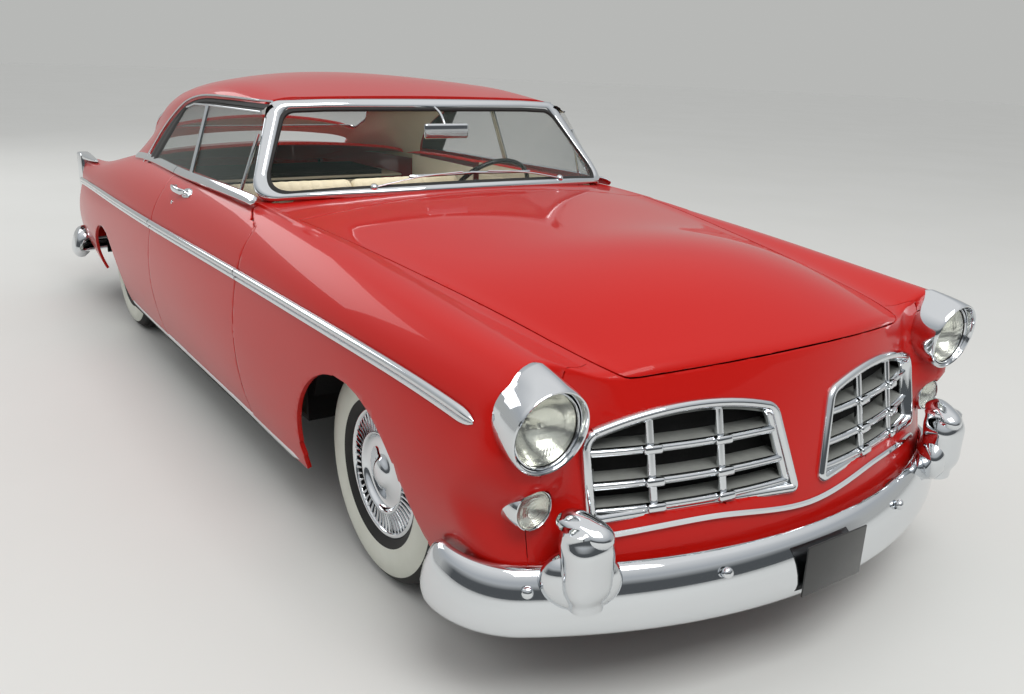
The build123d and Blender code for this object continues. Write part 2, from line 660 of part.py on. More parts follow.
# Roof with its rear pillars, the windshield frame and the fixed glass
roof = loft([roof_section(row, 0) for row in roof_rows]) - loft([roof_section(row, ROOF_SKIN) for row in roof_rows])
roof = roof - side_prism(SIDE_WINDOW, -OUTSIDE, OUTSIDE)
roof = roof - plan_prism(BACK_WINDOW, ROOF_BASE_Z, 1600)
lid_room = block(-TRUNK_HALF - PANEL_GAP, TRUNK_HALF + PANEL_GAP, ROOF_END_Y, BEHIND, TRUNK_LOW_Z, ABOVE)
pieces["roof"] = roof - lid_room - shield_slab(-400, FRAME_DEPTH) - body_outer
view = front_prism(SHIELD_VIEW, -1200, -200)
pieces["windshield_frame"] = shield_slab(0, FRAME_DEPTH) - view - body_outer
back_glass = (loft([roof_section(row, GLASS_SINK) for row in roof_rows])
              - loft([roof_section(row, GLASS_SINK + GLASS) for row in roof_rows])) & plan_prism(BACK_WINDOW, 1080, 1600)
quarter_glass = pane(glass_mid, glass_rear, GLASS) & side_prism(QUARTER_LIGHT, 600, 900)
pieces["fixed_glass"] = ((shield_slab(SHIELD_SINK, SHIELD_SINK + GLASS) & view) + back_glass
                         + quarter_glass + mirrored(quarter_glass))

# Floor with sills, firewall, wheel housings and the shelf behind the seat
floor_top = FLOOR_LOW_Z + SHEET
floor = block(-FLOOR_HALF, FLOOR_HALF, FIREWALL_Y, RISER_Y + SHEET, FLOOR_LOW_Z, floor_top)
floor += block(-FLOOR_HALF, FLOOR_HALF, FIREWALL_Y, FIREWALL_Y + SHEET, FLOOR_LOW_Z, FIREWALL_TOP_Z)
riser_half = FLOOR_HALF - RISER_INSET
floor += block(-riser_half, riser_half, RISER_Y, RISER_Y + SHEET, FLOOR_LOW_Z, TRUNK_FLOOR_Z + SHEET)
floor += block(-TRUNK_FLOOR_HALF, TRUNK_FLOOR_HALF, RISER_Y, TRUNK_REAR_Y, TRUNK_FLOOR_Z, TRUNK_FLOOR_Z + SHEET)
floor += block(-TRUNK_FLOOR_HALF, TRUNK_FLOOR_HALF, BULKHEAD_Y, BULKHEAD_Y + SHELF, TRUNK_FLOOR_Z, SHELF_Z + SHELF)
floor += block(-TRUNK_FLOOR_HALF, TRUNK_FLOOR_HALF, BULKHEAD_Y, TRUNK_FRONT_Y - SHELF_REAR_GAP, SHELF_Z, SHELF_Z + SHELF)
hub = (REAR_AXLE_Y, TYRE_RADIUS)
sill = block(SILL_IN_X, SILL_OUT_X, DOOR_FRONT_Y, SILL_REAR_Y, SILL_LOW_Z, FLOOR_LOW_Z)
housing = rod((HOUSING_X[0], *hub), (HOUSING_X[1], *hub), HOUSING_RADIUS)
housing -= rod((HOUSING_X[0] + HOUSING_WALL, *hub), (OUTSIDE, *hub), HOUSING_RADIUS - HOUSING_WALL)
housing &= block(HOUSING_X[0] - SHEET, OUTSIDE, 0, BEHIND, TYRE_RADIUS, ABOVE)
housing -= rod((HOUSING_X[0] - SHEET, *hub), (HOUSING_X[0] + 2 * SHEET, *hub), AXLE_SLOT)
one_side = sill + housing
pieces["floor_pan"] = floor + one_side + mirrored(one_side)

# Inner aprons with the radiator and its support
rail_top = [(y, z + RAIL_HEIGHT) for y, z in RAIL_LOW if APRON_FRONT_Y < y < FIREWALL_Y]
apron_foot = RAIL_LOW[0][1] + RAIL_HEIGHT - 1
apron_line = [(APRON_FRONT_Y, apron_foot)] + rail_top
apron_line += [(FIREWALL_Y, FLOOR_LOW_Z), (FIREWALL_Y, APRON_TOP_Z), (APRON_FRONT_Y, APRON_TOP_Z)]
arm_half, arm_low, arm_high = APRON_ARM_HOLE
apron = side_prism(apron_line, *APRON_X)
apron -= block(APRON_X[0] - SHEET, APRON_X[1] + SHEET, FRONT_AXLE_Y - arm_half, FRONT_AXLE_Y + arm_half, arm_low, arm_high)
front_hub = (FRONT_AXLE_Y, TYRE_RADIUS)
bay = rod((APRON_X[0] + 6, *front_hub), (HOUSING_X[1], *front_hub), BAY_RADIUS)
bay -= rod((0, *front_hub), (OUTSIDE, *front_hub), BAY_RADIUS - BAY_WALL)
apron += bay & block(0, OUTSIDE, APRON_FRONT_Y, FIREWALL_Y - 6, BAY_LOW_Z, APRON_TOP_Z + 40)
core_half, core_depth, core_low, core_high = RADIATOR
support = block(-APRON_X[1], APRON_X[1], APRON_FRONT_Y, APRON_FRONT_Y + SHEET, apron_foot, APRON_TOP_Z)
support += block(-core_half, core_half, APRON_FRONT_Y + SHEET, APRON_FRONT_Y + SHEET + core_depth, core_low, core_high)
pieces["front_aprons"] = apron + mirrored(apron) + support

# Frame rails with cross members and wishbones
rail_line = RAIL_LOW + [(y, z + RAIL_HEIGHT) for y, z in reversed(RAIL_LOW)]
rail = side_prism(rail_line, *RAIL_X)
frame = rail + mirrored(rail)
cross_half_x = RAIL_X[0] + 4
for y, z in CROSS_MEMBERS:
    frame += block(-cross_half_x, cross_half_x, y - CROSS_HALF, y + CROSS_HALF, z, z + CROSS_HEIGHT)
half_y, low, high = FRONT_CROSS
frame += block(-cross_half_x, cross_half_x, FRONT_AXLE_Y - half_y, FRONT_AXLE_Y + half_y, low, high)
for side in (-1, 1):
    for z in WISHBONE_Z:
        inner = (side * WISHBONE_IN_X, FRONT_AXLE_Y, z)
        frame += rod(inner, (side * (KINGPIN_X - WISHBONE_GAP), FRONT_AXLE_Y, z), WISHBONE_RADIUS)
    spring_x = side * SPRING_X
    frame += rod((spring_x, FRONT_AXLE_Y, SPRING_Z[0]), (spring_x, FRONT_AXLE_Y, SPRING_Z[1]), SPRING_RADIUS)
pieces["chassis_frame"] = frame
engine_half, engine_front, engine_rear, engine_low, engine_high = ENGINE
pieces["engine_block"] = block(-engine_half, engine_half, engine_front, engine_rear, engine_low, engine_high)

# Rear axle with its leaf springs
bulge, bulge_front, bulge_rear = DIFFERENTIAL
axle = rod((-AXLE_HALF, *hub), (AXLE_HALF, *hub), AXLE_RADIUS)
axle += rod((0, REAR_AXLE_Y + bulge_front, TYRE_RADIUS), (0, REAR_AXLE_Y + bulge_rear, TYRE_RADIUS), bulge)
saddle_x, saddle_y, saddle_low, saddle_high = SADDLE
one_side = rod((AXLE_HALF - 10, *hub), (REAR_TRACK / 2 + 15, *hub), SPINDLE_RADIUS)
one_side += block(LEAF_X - LEAF_HALF, LEAF_X + LEAF_HALF, *LEAF_Y, *LEAF_Z)
one_side += block(LEAF_X - saddle_x, LEAF_X + saddle_x, REAR_AXLE_Y - saddle_y, REAR_AXLE_Y + saddle_y,
                  saddle_low, saddle_high)
for hanger in HANGERS:
    one_side += block(*hanger)
pieces["rear_axle"] = axle + one_side + mirrored(one_side)

# Exhaust and fuel tank
pipe = rod((PIPE_X, PIPE_Y[0], PIPE_Z), (PIPE_X, PIPE_Y[1], PIPE_Z), PIPE_RADIUS)
pipe += rod((PIPE_X, MUFFLER_Y[0], PIPE_Z), (PIPE_X, MUFFLER_Y[1], PIPE_Z), MUFFLER_RADIUS)
pipe += rod(*TAIL_PIPE, PIPE_RADIUS)
pieces["exhaust"] = Part() + pipe + mirrored(pipe)
pieces["fuel_tank"] = block(-TANK_HALF, TANK_HALF, *TANK_Y, TANK_LOW_Z, TRUNK_FLOOR_Z)

# Dashboard and steering
pieces["dashboard"] = side_prism(DASH_LINE, -DASH_HALF, DASH_HALF)
slope = math.radians(COLUMN_SLOPE)
away = Vector(0, -math.cos(slope), -math.sin(slope))
centre = Vector(*WHEEL_CENTRE)
column = rod(centre + away * COLUMN_REACH[0], centre + away * COLUMN_REACH[1], COLUMN_RADIUS)
bracket_half, *bracket_box = COLUMN_BRACKET
bracket = block(WHEEL_CENTRE[0] - bracket_half, WHEEL_CENTRE[0] + bracket_half, *bracket_box)
pieces["steering_column"] = column + bracket
wheel_plane = Plane(centre, x_dir=(1, 0, 0), z_dir=-away)
rim = wheel_plane * Torus(STEERING_RIM, STEERING_GRIP)
boss = wheel_plane * (Pos(0, 0, -10) * Cylinder(STEERING_HUB, 40))
spoke = wheel_plane * (Pos(0, 0, -6) * Box(2 * STEERING_RIM, SPOKE_WIDTH, 10))
pieces["steering_wheel"] = rim + boss + spoke

# Seats
pieces["front_seat"] = side_prism(FRONT_SEAT, -FRONT_SEAT_HALF, FRONT_SEAT_HALF)
pieces["rear_seat"] = side_prism(REAR_SEAT, -REAR_SEAT_HALF, REAR_SEAT_HALF)


# Bumpers: a bowed blade swept along the plan line, with brackets and, at the front, two guards
def bumper_profile(plane):
    h = (BUMPER_HIGH_Z - BUMPER_LOW_Z) / 2
    edges = [
        ThreePointArc((BUMPER_ROLL, -h), (0, 0), (BUMPER_ROLL, h)),
        Line((BUMPER_ROLL, h), (BUMPER_DEPTH, h - BUMPER_LIP)),
        Line((BUMPER_DEPTH, h - BUMPER_LIP), (BUMPER_DEPTH, -h + BUMPER_LIP)),
        Line((BUMPER_DEPTH, -h + BUMPER_LIP), (BUMPER_ROLL, -h)),
    ]
    return plane * make_face(Wire([e.edge() for e in edges]))


def bumper_blade(corner_point, side_x, end_y, face_y):
    # The plan line: a wide bow, a corner that turns to run along the side, and a short straight end.
    z = (BUMPER_HIGH_Z + BUMPER_LOW_Z) / 2
    half, corner_y = corner_point
    rise = face_y - corner_y
    bow = (half ** 2 + rise ** 2) / (2 * rise)
    lean = half / bow
    radius = (side_x - half) / (1 - lean)
    turn = (side_x, corner_y - radius * math.sqrt(1 - lean ** 2), z)
    main = ThreePointArc((-half, corner_y, z), (0, face_y, z), (half, corner_y, z))
    corner = TangentArc((half, corner_y, z), turn, tangent=main % 1)
    tail = Line(turn, (side_x, end_y, z))
    back = [mirror(tail, about=Plane.YZ), mirror(corner, about=Plane.YZ)]
    path = Wire([e.edge() for e in (*back, main, corner, tail)])
    start, tangent = path @ 0, path % 0
    inward = tangent.cross(Vector(0, 0, 1))
    if inward.X * start.X > 0:
        inward = -inward
    plane = Plane(start, x_dir=inward, z_dir=tangent)
    return sweep(bumper_profile(plane), path=path)


def bracket_pair(box):
    one = block(BRACKET_X - BRACKET_HALF, BRACKET_X + BRACKET_HALF, *box)
    return one + mirrored(one)


def guard():
    # A rounded upright with a bullet-ended cap that runs back over it.
    levels = [Pos(x, y, z) * Ellipse(half_x, half_y) for z, x, y, half_x, half_y in GUARD_LEVELS]
    front, back = GUARD_CAP
    cap = rod(front, back, GUARD_CAP_RADIUS) + Pos(*front) * Sphere(GUARD_CAP_RADIUS)
    cap += Pos(*back) * Sphere(GUARD_CAP_RADIUS)
    return loft(levels) + cap


pieces["rear_bumper"] = bumper_blade(REAR_CORNER, REAR_SIDE_X, REAR_END_Y, BUMPER_FACE_Y) + bracket_pair(REAR_BRACKET)
front_blade = mirror(bumper_blade(FRONT_CORNER, FRONT_SIDE_X, FRONT_END_Y, BUMPER_FACE_Y - PLATE_THICK), about=Plane.XZ)
one_guard = guard()
front_blade = front_blade + bracket_pair(FRONT_BRACKET) + one_guard + mirrored(one_guard)
pieces["front_bumper"] = front_blade
plate = block(-PLATE_HALF, PLATE_HALF, -BUMPER_FACE_Y, PLATE_DEPTH - BUMPER_FACE_Y, *PLATE_Z) - front_blade
pieces["plate"] = plate.solids().sort_by(Axis.Y)[0]

# Wheel sections: (radius, outward), the cover's face, the rim and the drum
COVER_LINE = [(0, 92), (26, 90), (54, 76), (74, 60), (108, 58), (130, 74), (134, 80), (196, 82), (207, 78)]
BARREL_LINE = [(207, 66), (192, 66), (192, -66), (207, -66), (207, -78), (182, -78), (182, 44)]
DRUM_LINE = [(152, 40), (152, -60), (142, -60), (142, 34), (62, 28), (62, -40), (HUB_BORE, -40), (HUB_BORE, 22), (0, 22)]
BEAD = (192, 64)
FLANGE = (212, 82)
SHOULDER = (350, 78)
BULGE_RADIUS = 284


def wheel_solid(axis_plane):
    face = make_face(Polyline(COVER_LINE + BARREL_LINE + DRUM_LINE, close=True))
    return axis_plane * revolve(Plane.XZ * face, Axis.Z)


def tyre_solid(axis_plane):
    half = TYRE_WIDTH / 2
    (bead, bead_half), (flange, flange_half), (shoulder, shoulder_half) = BEAD, FLANGE, SHOULDER
    edges = [
        Line((bead, -bead_half), (bead, bead_half)),
        Line((bead, bead_half), (flange - 2, bead_half)),
        Line((flange - 2, bead_half), FLANGE),
        ThreePointArc(FLANGE, (BULGE_RADIUS, half), SHOULDER),
        ThreePointArc(SHOULDER, (TYRE_RADIUS, 0), (shoulder, -shoulder_half)),
        ThreePointArc((shoulder, -shoulder_half), (BULGE_RADIUS, -half), (flange, -flange_half)),
        Line((flange, -flange_half), (flange - 2, -bead_half)),
        Line((flange - 2, -bead_half), (bead, -bead_half)),
    ]
    face = make_face(Wire([e.edge() for e in edges]))
    return axis_plane * revolve(Plane.XZ * face, Axis.Z)


for end, y, track in (("front", FRONT_AXLE_Y, FRONT_TRACK), ("rear", REAR_AXLE_Y, REAR_TRACK)):
    plane = Plane((track / 2, y, TYRE_RADIUS), x_dir=(0, 1, 0), z_dir=(1, 0, 0))
    wheel, tyre = wheel_solid(plane), tyre_solid(plane)
    pieces[f"wheel_{end}_left"] = wheel
    pieces[f"tyre_{end}_left"] = tyre
    pieces[f"wheel_{end}_right"] = mirrored(wheel)
    pieces[f"tyre_{end}_right"] = mirrored(tyre)
knuckle = rod((KINGPIN_X, FRONT_AXLE_Y, KINGPIN_Z[0]), (KINGPIN_X, FRONT_AXLE_Y, KINGPIN_Z[1]), KINGPIN_RADIUS)
knuckle += rod((KINGPIN_X - 10, *front_hub), (FRONT_TRACK / 2 + 18, *front_hub), SPINDLE_RADIUS)
knuckle += rod((KINGPIN_X + BRAKE_DISC_X[0], *front_hub), (KINGPIN_X + BRAKE_DISC_X[1], *front_hub), BRAKE_DISC_RADIUS)
pieces["knuckle_left"] = knuckle
pieces["knuckle_right"] = mirrored(knuckle)

os.makedirs("parts", exist_ok=True)
for name, piece in pieces.items():
    export_step(piece, f"parts/{name}.step")
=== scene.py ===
import math
import bpy
import bmesh
import numpy as np
from mathutils import Matrix, Vector


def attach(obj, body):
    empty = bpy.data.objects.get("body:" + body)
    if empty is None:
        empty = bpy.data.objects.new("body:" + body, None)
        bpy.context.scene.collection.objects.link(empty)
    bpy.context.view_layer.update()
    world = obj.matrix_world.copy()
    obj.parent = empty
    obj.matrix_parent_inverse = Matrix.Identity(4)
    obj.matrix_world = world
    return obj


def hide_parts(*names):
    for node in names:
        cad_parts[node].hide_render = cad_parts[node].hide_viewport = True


# 1950s two-door hardtop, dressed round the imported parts. Tables are in millimetres, the scene is in metres.
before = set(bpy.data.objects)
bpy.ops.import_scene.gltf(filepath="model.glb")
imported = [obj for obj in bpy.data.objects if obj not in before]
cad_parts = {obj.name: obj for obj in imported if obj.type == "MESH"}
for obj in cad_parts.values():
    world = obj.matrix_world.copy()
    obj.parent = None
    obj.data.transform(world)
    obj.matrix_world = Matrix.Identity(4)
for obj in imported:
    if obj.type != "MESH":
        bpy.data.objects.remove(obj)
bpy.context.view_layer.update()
print("frame loaded")

# Camera, as solved from the wheels, the bumper and the windshield in the photo
shot = {"sensor": 36, "lens": 32.33, "clip": 300, "place": (-2.0285, -4.0789, 1.6176),
        "right": (0.8233, -0.5663, 0.0388), "down": (-0.1411, -0.2704, -0.9524), "ahead": (0.5498, 0.7787, -0.3025)}
camera = bpy.data.objects.new("camera", bpy.data.cameras.new("camera"))
bpy.context.scene.collection.objects.link(camera)
camera.data.sensor_width, camera.data.lens, camera.data.clip_end = shot["sensor"], shot["lens"], shot["clip"]
turned = Matrix((shot["right"], [-v for v in shot["down"]], [-v for v in shot["ahead"]])).transposed()
camera.matrix_world = Matrix.Translation(shot["place"]) @ turned.to_4x4()
bpy.context.scene.camera = camera


# Materials
def linear(hexText, alpha=1):
    parts = [int(hexText[i:i + 2], 16) / 255 for i in (1, 3, 5)]
    return [p / 12.92 if p <= 0.04045 else ((p + 0.055) / 1.055) ** 2.4 for p in parts] + [alpha]


def addNode(tree, kind, values=None, links=None, **settings):
    made = tree.nodes.new("ShaderNode" + kind)
    for key, value in settings.items():
        setattr(made, key, value)
    for key, value in (values or {}).items():
        made.inputs[key].default_value = value
    for key, source in (links or {}).items():
        tree.links.new(source, made.inputs[key])
    return made


materials = {}


def newMaterial(key, name, colour, rough, more=None, mottled=None, grain=None):
    # mottled: a soft change between two colours or two roughnesses, and its spots a metre
    # grain: texture, its settings, its height socket, strength and depth in metres of the bump
    mat = bpy.data.materials.new(name)
    mat.use_nodes = True
    tree = mat.node_tree
    shader = tree.nodes["Principled BSDF"]
    for socket, value in {"Base Color": linear(colour), "Roughness": rough, **(more or {})}.items():
        shader.inputs[socket].default_value = value
    mat.diffuse_color = shader.inputs["Base Color"].default_value
    if mottled or grain:
        place = addNode(tree, "TexCoord").outputs["Object"]  # in metres, the same on every piece
    if mottled:
        low, high, perMetre = mottled
        noise = addNode(tree, "TexNoise", {"Scale": perMetre, "Detail": 4, "Roughness": 0.6}, {"Vector": place})
        if isinstance(low, str):
            mix = addNode(tree, "Mix", None, {"Factor": noise.outputs["Fac"]}, data_type="RGBA")
            mix.inputs["A"].default_value, mix.inputs["B"].default_value = linear(low), linear(high)
            tree.links.new(mix.outputs["Result"], shader.inputs["Base Color"])
        else:
            spread = addNode(tree, "MapRange", {"To Min": low, "To Max": high}, {"Value": noise.outputs["Fac"]})
            tree.links.new(spread.outputs["Result"], shader.inputs["Roughness"])
    if grain:
        kind, settings, socket, strength, depth = grain
        skinDepth = addNode(tree, kind, settings, {"Vector": place}).outputs[socket]
        bump = addNode(tree, "Bump", {"Strength": strength, "Distance": depth}, {"Height": skinDepth})
        tree.links.new(bump.outputs["Normal"], shader.inputs["Normal"])
    materials[key] = mat
    return tree, shader


# enamel, sprayed and polished: deep red with a hard clear shine and a trace of spray texture
newMaterial("enamel", "sprayedRedEnamel", "#BE120A", 0.4,
            {"IOR": 1.3, "Specular IOR Level": 0.3, "Coat Weight": 0.55, "Coat Roughness": 0.03, "Coat IOR": 1.36},
            grain=("TexNoise", {"Scale": 1000 / 9, "Detail": 1}, "Fac", 0.035, 0.001))  # 9 mm; real texture is 2-3 mm
# chrome, plated on polished steel: a clean mirror with a cool grey tone
newMaterial("chrome", "polishedChromePlate", "#DCDFE2", 0.045, {"Metallic": 1.0}, (0.03, 0.075, 9))
# zinc castings, satin plated: soft silver that scatters the light
newMaterial("satin", "satinPlatedZinc", "#A9ABAA", 0.34, {"Metallic": 1.0}, (0.28, 0.4, 60))
# louvre shelves, sprayed with aluminium paint: even silver grey
newMaterial("silverPaint", "sprayedAluminiumPaint", "#9A9C97", 0.5, {"Metallic": 0.3}, ("#8E908B", "#A6A8A3", 34))

# safety glass, laminated and green tinted: clear head on, mirror-like at a low angle
tree, shader = newMaterial("glass", "laminatedTintedGlass", "#3A4A44", 0.02, {"IOR": 1.52, "Specular IOR Level": 0.9})
facing = addNode(tree, "LayerWeight", {"Blend": 0.5})
edgeOn = addNode(tree, "Math", {1: 3.0}, {0: facing.outputs["Facing"]}, operation="POWER")
seen = addNode(tree, "MapRange", {"From Min": 0.0, "From Max": 1.0, "To Min": 0.06, "To Max": 0.8},
               {"Value": edgeOn.outputs["Value"]})
tree.links.new(seen.outputs["Result"], shader.inputs["Alpha"])

# lamp glass, pressed: clear and bright with soft edges on its flutes
newMaterial("lampGlass", "pressedLampGlass", "#F2F4F0", 0.03,
            {"IOR": 1.5, "Transmission Weight": 1.0}, (0.02, 0.06, 40))
# lamp bowl, vacuum silvered: bright behind the lens
newMaterial("reflector", "silveredReflector", "#F2F1EC", 0.16, {"Metallic": 1.0}, (0.11, 0.22, 30))
# acrylic, moulded red: glows where light goes through it
newMaterial("redLens", "mouldedRedAcrylic", "#8E0A08", 0.12,
            {"IOR": 1.49, "Transmission Weight": 0.35, "Coat Weight": 0.6}, ("#7E0806", "#9C0E0A", 50))
# rubber, moulded and weathered: nearly black with a dry grey bloom
newMaterial("rubber", "mouldedBlackRubber", "#161616", 0.72, {"IOR": 1.52}, ("#101010", "#252422", 26))
# white rubber, vulcanised on the wall: chalky off-white with faint road film
newMaterial("whiteRubber", "whiteWallRubber", "#D3D4C8", 0.55, {"IOR": 1.52}, ("#C6C8BB", "#DEDFD5", 7))
# leather, dyed cream and pleated: soft grain, slightly shiny on the rolls
newMaterial("leather", "dyedCreamLeather", "#D2C8AC", 0.5, {"IOR": 1.48}, ("#C9BE9F", "#DAD0B6", 6),
            ("TexVoronoi", {"Scale": 1000 / 5}, "Distance", 0.25, 0.0015))  # 5 mm, so it shows; real grain is 1 mm
# vinyl, embossed: flat cream-grey lining for the roof and doors
newMaterial("vinyl", "embossedVinyl", "#C2BBA6", 0.6, {"IOR": 1.5}, ("#B7AF99", "#CBC4B0", 8),
            ("TexVoronoi", {"Scale": 220}, "Distance", 0.2, 0.001))
# carpet, loop pile: dark and rough, with 6 mm loops
newMaterial("carpet", "loopPileCarpet", "#2B2A26", 0.95, {"Sheen Weight": 0.3},
            grain=("TexVoronoi", {"Scale": 160}, "Distance", 0.6, 0.004))
# cellulose acetate, moulded: dark glossy wheel rim and knobs
newMaterial("acetate", "mouldedDarkAcetate", "#17191A", 0.18, {"IOR": 1.47}, (0.14, 0.26, 25))
# steel, dipped in black chassis paint: low shine with road dust
newMaterial("chassis", "dippedChassisSteel", "#191919", 0.5, None, ("#131313", "#2C2925", 8))
# bitumen undercoat, brushed on: matt black
newMaterial("undercoat", "brushedUndercoat", "#0D0D0D", 0.9,
            grain=("TexNoise", {"Scale": 90, "Detail": 3}, "Fac", 0.4, 0.004))
# iron, sand cast and painted: dull grey with a rough skin
newMaterial("castIron", "sandCastIron", "#3A3B3A", 0.6, {"Metallic": 0.7},
            grain=("TexNoise", {"Scale": 260, "Detail": 2}, "Fac", 0.35, 0.002))
# steel, painted black and left blank: an even low shine
newMaterial("blackPlate", "blackPlateEnamel", "#0E0F10", 0.3, {"Coat Weight": 0.5}, (0.24, 0.4, 18))
# paper, printed: flat cream dials
newMaterial("dial", "printedDialPaper", "#B9B49E", 0.6, None, ("#B0AB94", "#C0BBA6", 90))
# plaster floor, rolled pale: takes soft shadows
newMaterial("floor", "rolledPaleFloor", "#D4D4D0", 0.75, None, ("#D0D0CC", "#D8D8D5", 0.6))
print("materials made")


# Mesh helpers: points come in millimetres
def addMesh(name, points, faces, mats, body, replaces=(), smooth=40, faceMats=None):
    mesh = bpy.data.meshes.new(name)
    mesh.from_pydata((np.asarray(points, float).reshape(-1, 3) / 1000).tolist(), [], [list(map(int, f)) for f in faces])
    for m in [mats] if isinstance(mats, str) else mats:
        mesh.materials.append(materials[m])
    if faceMats is not None:
        mesh.polygons.foreach_set("material_index", faceMats)
    made = bpy.data.objects.new(name, mesh)
    bpy.context.scene.collection.objects.link(made)
    bm = bmesh.new()
    bm.from_mesh(mesh)
    bmesh.ops.remove_doubles(bm, verts=bm.verts, dist=0.00002)
    bmesh.ops.dissolve_degenerate(bm, edges=bm.edges, dist=0.00001)
    bmesh.ops.recalc_face_normals(bm, faces=bm.faces)
    bm.to_mesh(mesh)
    bm.free()
    shade(mesh, smooth)
    if body:
        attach(made, body)
    if replaces:
        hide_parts(*replaces)
    return made


def shade(mesh, smooth):
    # smooth shading with sharp edges over an angle in degrees; 0 is flat
    mesh.polygons.foreach_set("use_smooth", [smooth > 0] * len(mesh.polygons))
    if smooth > 0:
        mesh.set_sharp_from_angle(angle=math.radians(smooth))
    mesh.update()


def shelled(made, mm, hem=0, innerMat=0, smooth=38):
    # gives a sheet its thickness and, where asked, a small rounded hem
    shell = made.modifiers.new("shell", "SOLIDIFY")
    shell.thickness, shell.offset, shell.material_offset = mm / 1000, -1, innerMat
    if hem:
        edge = made.modifiers.new("hem", "BEVEL")
        edge.width, edge.segments, edge.limit_method, edge.angle_limit = hem / 1000, 2, "ANGLE", math.radians(55)
    mesh = bpy.data.meshes.new_from_object(made.evaluated_get(bpy.context.evaluated_depsgraph_get()))
    made.modifiers.clear()
    made.data = mesh
    shade(mesh, smooth)


def gridFaces(rows, columns, closeRows=False, closeColumns=False):
    faces = []
    for i in range(rows if closeRows else rows - 1):
        for j in range(columns if closeColumns else columns - 1):
            below, next = (i + 1) % rows * columns, (j + 1) % columns
            faces.append((i * columns + j, i * columns + next, below + next, below + j))
    return faces


def endCaps(rows, columns):
    return [tuple(range(columns))[::-1], tuple(range((rows - 1) * columns, rows * columns))]


def capped(rows):
    # rows of points closed round, with a face over each end
    rows = np.array(rows)
    return rows, gridFaces(len(rows), rows.shape[1], False, True) + endCaps(len(rows), rows.shape[1])


class Heap:
    # gathers points and faces of several shapes into one mesh
    def __init__(self):
        self.points, self.faces, self.marks, self.count = [], [], [], 0

    def add(self, points, faces, mark=0):
        points = np.asarray(points, float).reshape(-1, 3)
        self.points.append(points)
        self.faces += [tuple(int(i) + self.count for i in f) for f in faces]
        self.marks += [mark] * len(faces)
        self.count += len(points)

    def both(self, points, faces, mark=0):
        # the shape and its mirror image on the other side of the car
        points = np.asarray(points, float).reshape(-1, 3)
        self.add(points, faces, mark)
        self.add(points * [-1, 1, 1], [tuple(reversed(f)) for f in faces], mark)

    def make(self, name, mats, body, replaces=(), slot=None):
        return addMesh(name, np.concatenate(self.points), self.faces, mats, body, replaces, 40, self.marks)


def unit(v):
    v = np.asarray(v, float)
    return v / np.maximum(np.linalg.norm(v, axis=-1, keepdims=True), 1e-9)


def fullTurn(steps):
    return np.linspace(0, 2 * np.pi, steps, endpoint=False)


def sweep(path, outward, profile, closed=False, scale=None):
    # profile: rows of (along side, along outward); path and outward are one row a station
    path, profile = np.asarray(path, float), np.asarray(profile, float)
    tangent = unit(np.roll(path, -1, 0) - np.roll(path, 1, 0) if closed else np.gradient(path, axis=0))
    outward = np.broadcast_to(np.asarray(outward, float), path.shape)
    side = unit(np.cross(tangent, outward))
    out = unit(np.cross(side, tangent))
    size = np.ones(len(path)) if scale is None else np.asarray(scale, float)
    shift = side[:, None] * profile[None, :, 0:1] + out[:, None] * profile[None, :, 1:2]
    points = path[:, None] + size[:, None, None] * shift
    faces = gridFaces(len(path), len(profile), closed, True)
    if not closed:
        faces += endCaps(len(path), len(profile))
    return points.reshape(-1, 3), faces


def ovalProfile(width, height, steps=16, power=2.0):
    c, s = np.cos(fullTurn(steps)), np.sin(fullTurn(steps))
    return np.stack([size / 2 * np.sign(v) * np.abs(v) ** (2 / power) for size, v in ((width, c), (height, s))], 1)


def lathe(profile, centre, axis, steps=64, start=(0, 0, 1)):
    # profile: rows of (radius, distance along the axis)
    profile, axis = np.asarray(profile, float), unit(axis)
    first = unit(np.asarray(start, float) - axis * np.dot(start, axis))
    turn = fullTurn(steps)
    ring = np.cos(turn)[:, None] * first + np.sin(turn)[:, None] * np.cross(axis, first)
    points = np.asarray(centre, float) + ring[:, None] * profile[None, :, 0:1] + axis * profile[None, :, 1:2]
    return points.reshape(-1, 3), gridFaces(steps, len(profile), True)


def smoothPath(points, steps=12):
    # a Catmull-Rom line through the points
    p, out = np.asarray(points, float), []
    for i in range(len(p) - 1):
        a, b, c, d = (p[min(max(i + k, 0), len(p) - 1)] for k in (-1, 0, 1, 2))
        for t in np.linspace(0, 1, steps, endpoint=False):
            out.append(0.5 * (2 * b + (c - a) * t + (2 * a - 5 * b + 4 * c - d) * t ** 2
                              + (3 * b - a - 3 * c + d) * t ** 3))
    return np.array([*out, p[-1]])


def roundBox(size, bevel, steps=3, at=(0, 0, 0)):
    # a box with rounded edges, its centre at a point
    bm = bmesh.new()
    bmesh.ops.create_cube(bm, size=1)
    bmesh.ops.scale(bm, vec=size, verts=bm.verts)
    bmesh.ops.bevel(bm, geom=list(bm.edges), offset=bevel, segments=steps, profile=0.5, affect="EDGES")
    bm.verts.ensure_lookup_table()
    points, faces = np.array([v.co for v in bm.verts]), [tuple(v.index for v in f.verts) for f in bm.faces]
    bm.free()
    return points + at, faces


def roundedLoop(corners, radii, steps=8):
    # a closed line in 2D with its corners rounded
    out, n = [], len(corners)
    for i in range(n):
        a, b, c = (np.array(corners[(i + k) % n], float) for k in (-1, 0, 1))
        u, v = unit(a - b), unit(c - b)
        angle = np.arccos(np.clip(u @ v, -1, 1))
        reach = radii[i] / np.tan(angle / 2) if radii[i] else 0
        start, end = b + u * reach, b + v * reach
        for t in np.linspace(0, 1, steps if radii[i] else 1):
            out.append((1 - t) ** 2 * start + 2 * t * (1 - t) * (b * 0.85 + (start + end) / 2 * 0.15) + t ** 2 * end)
    return np.array(out)


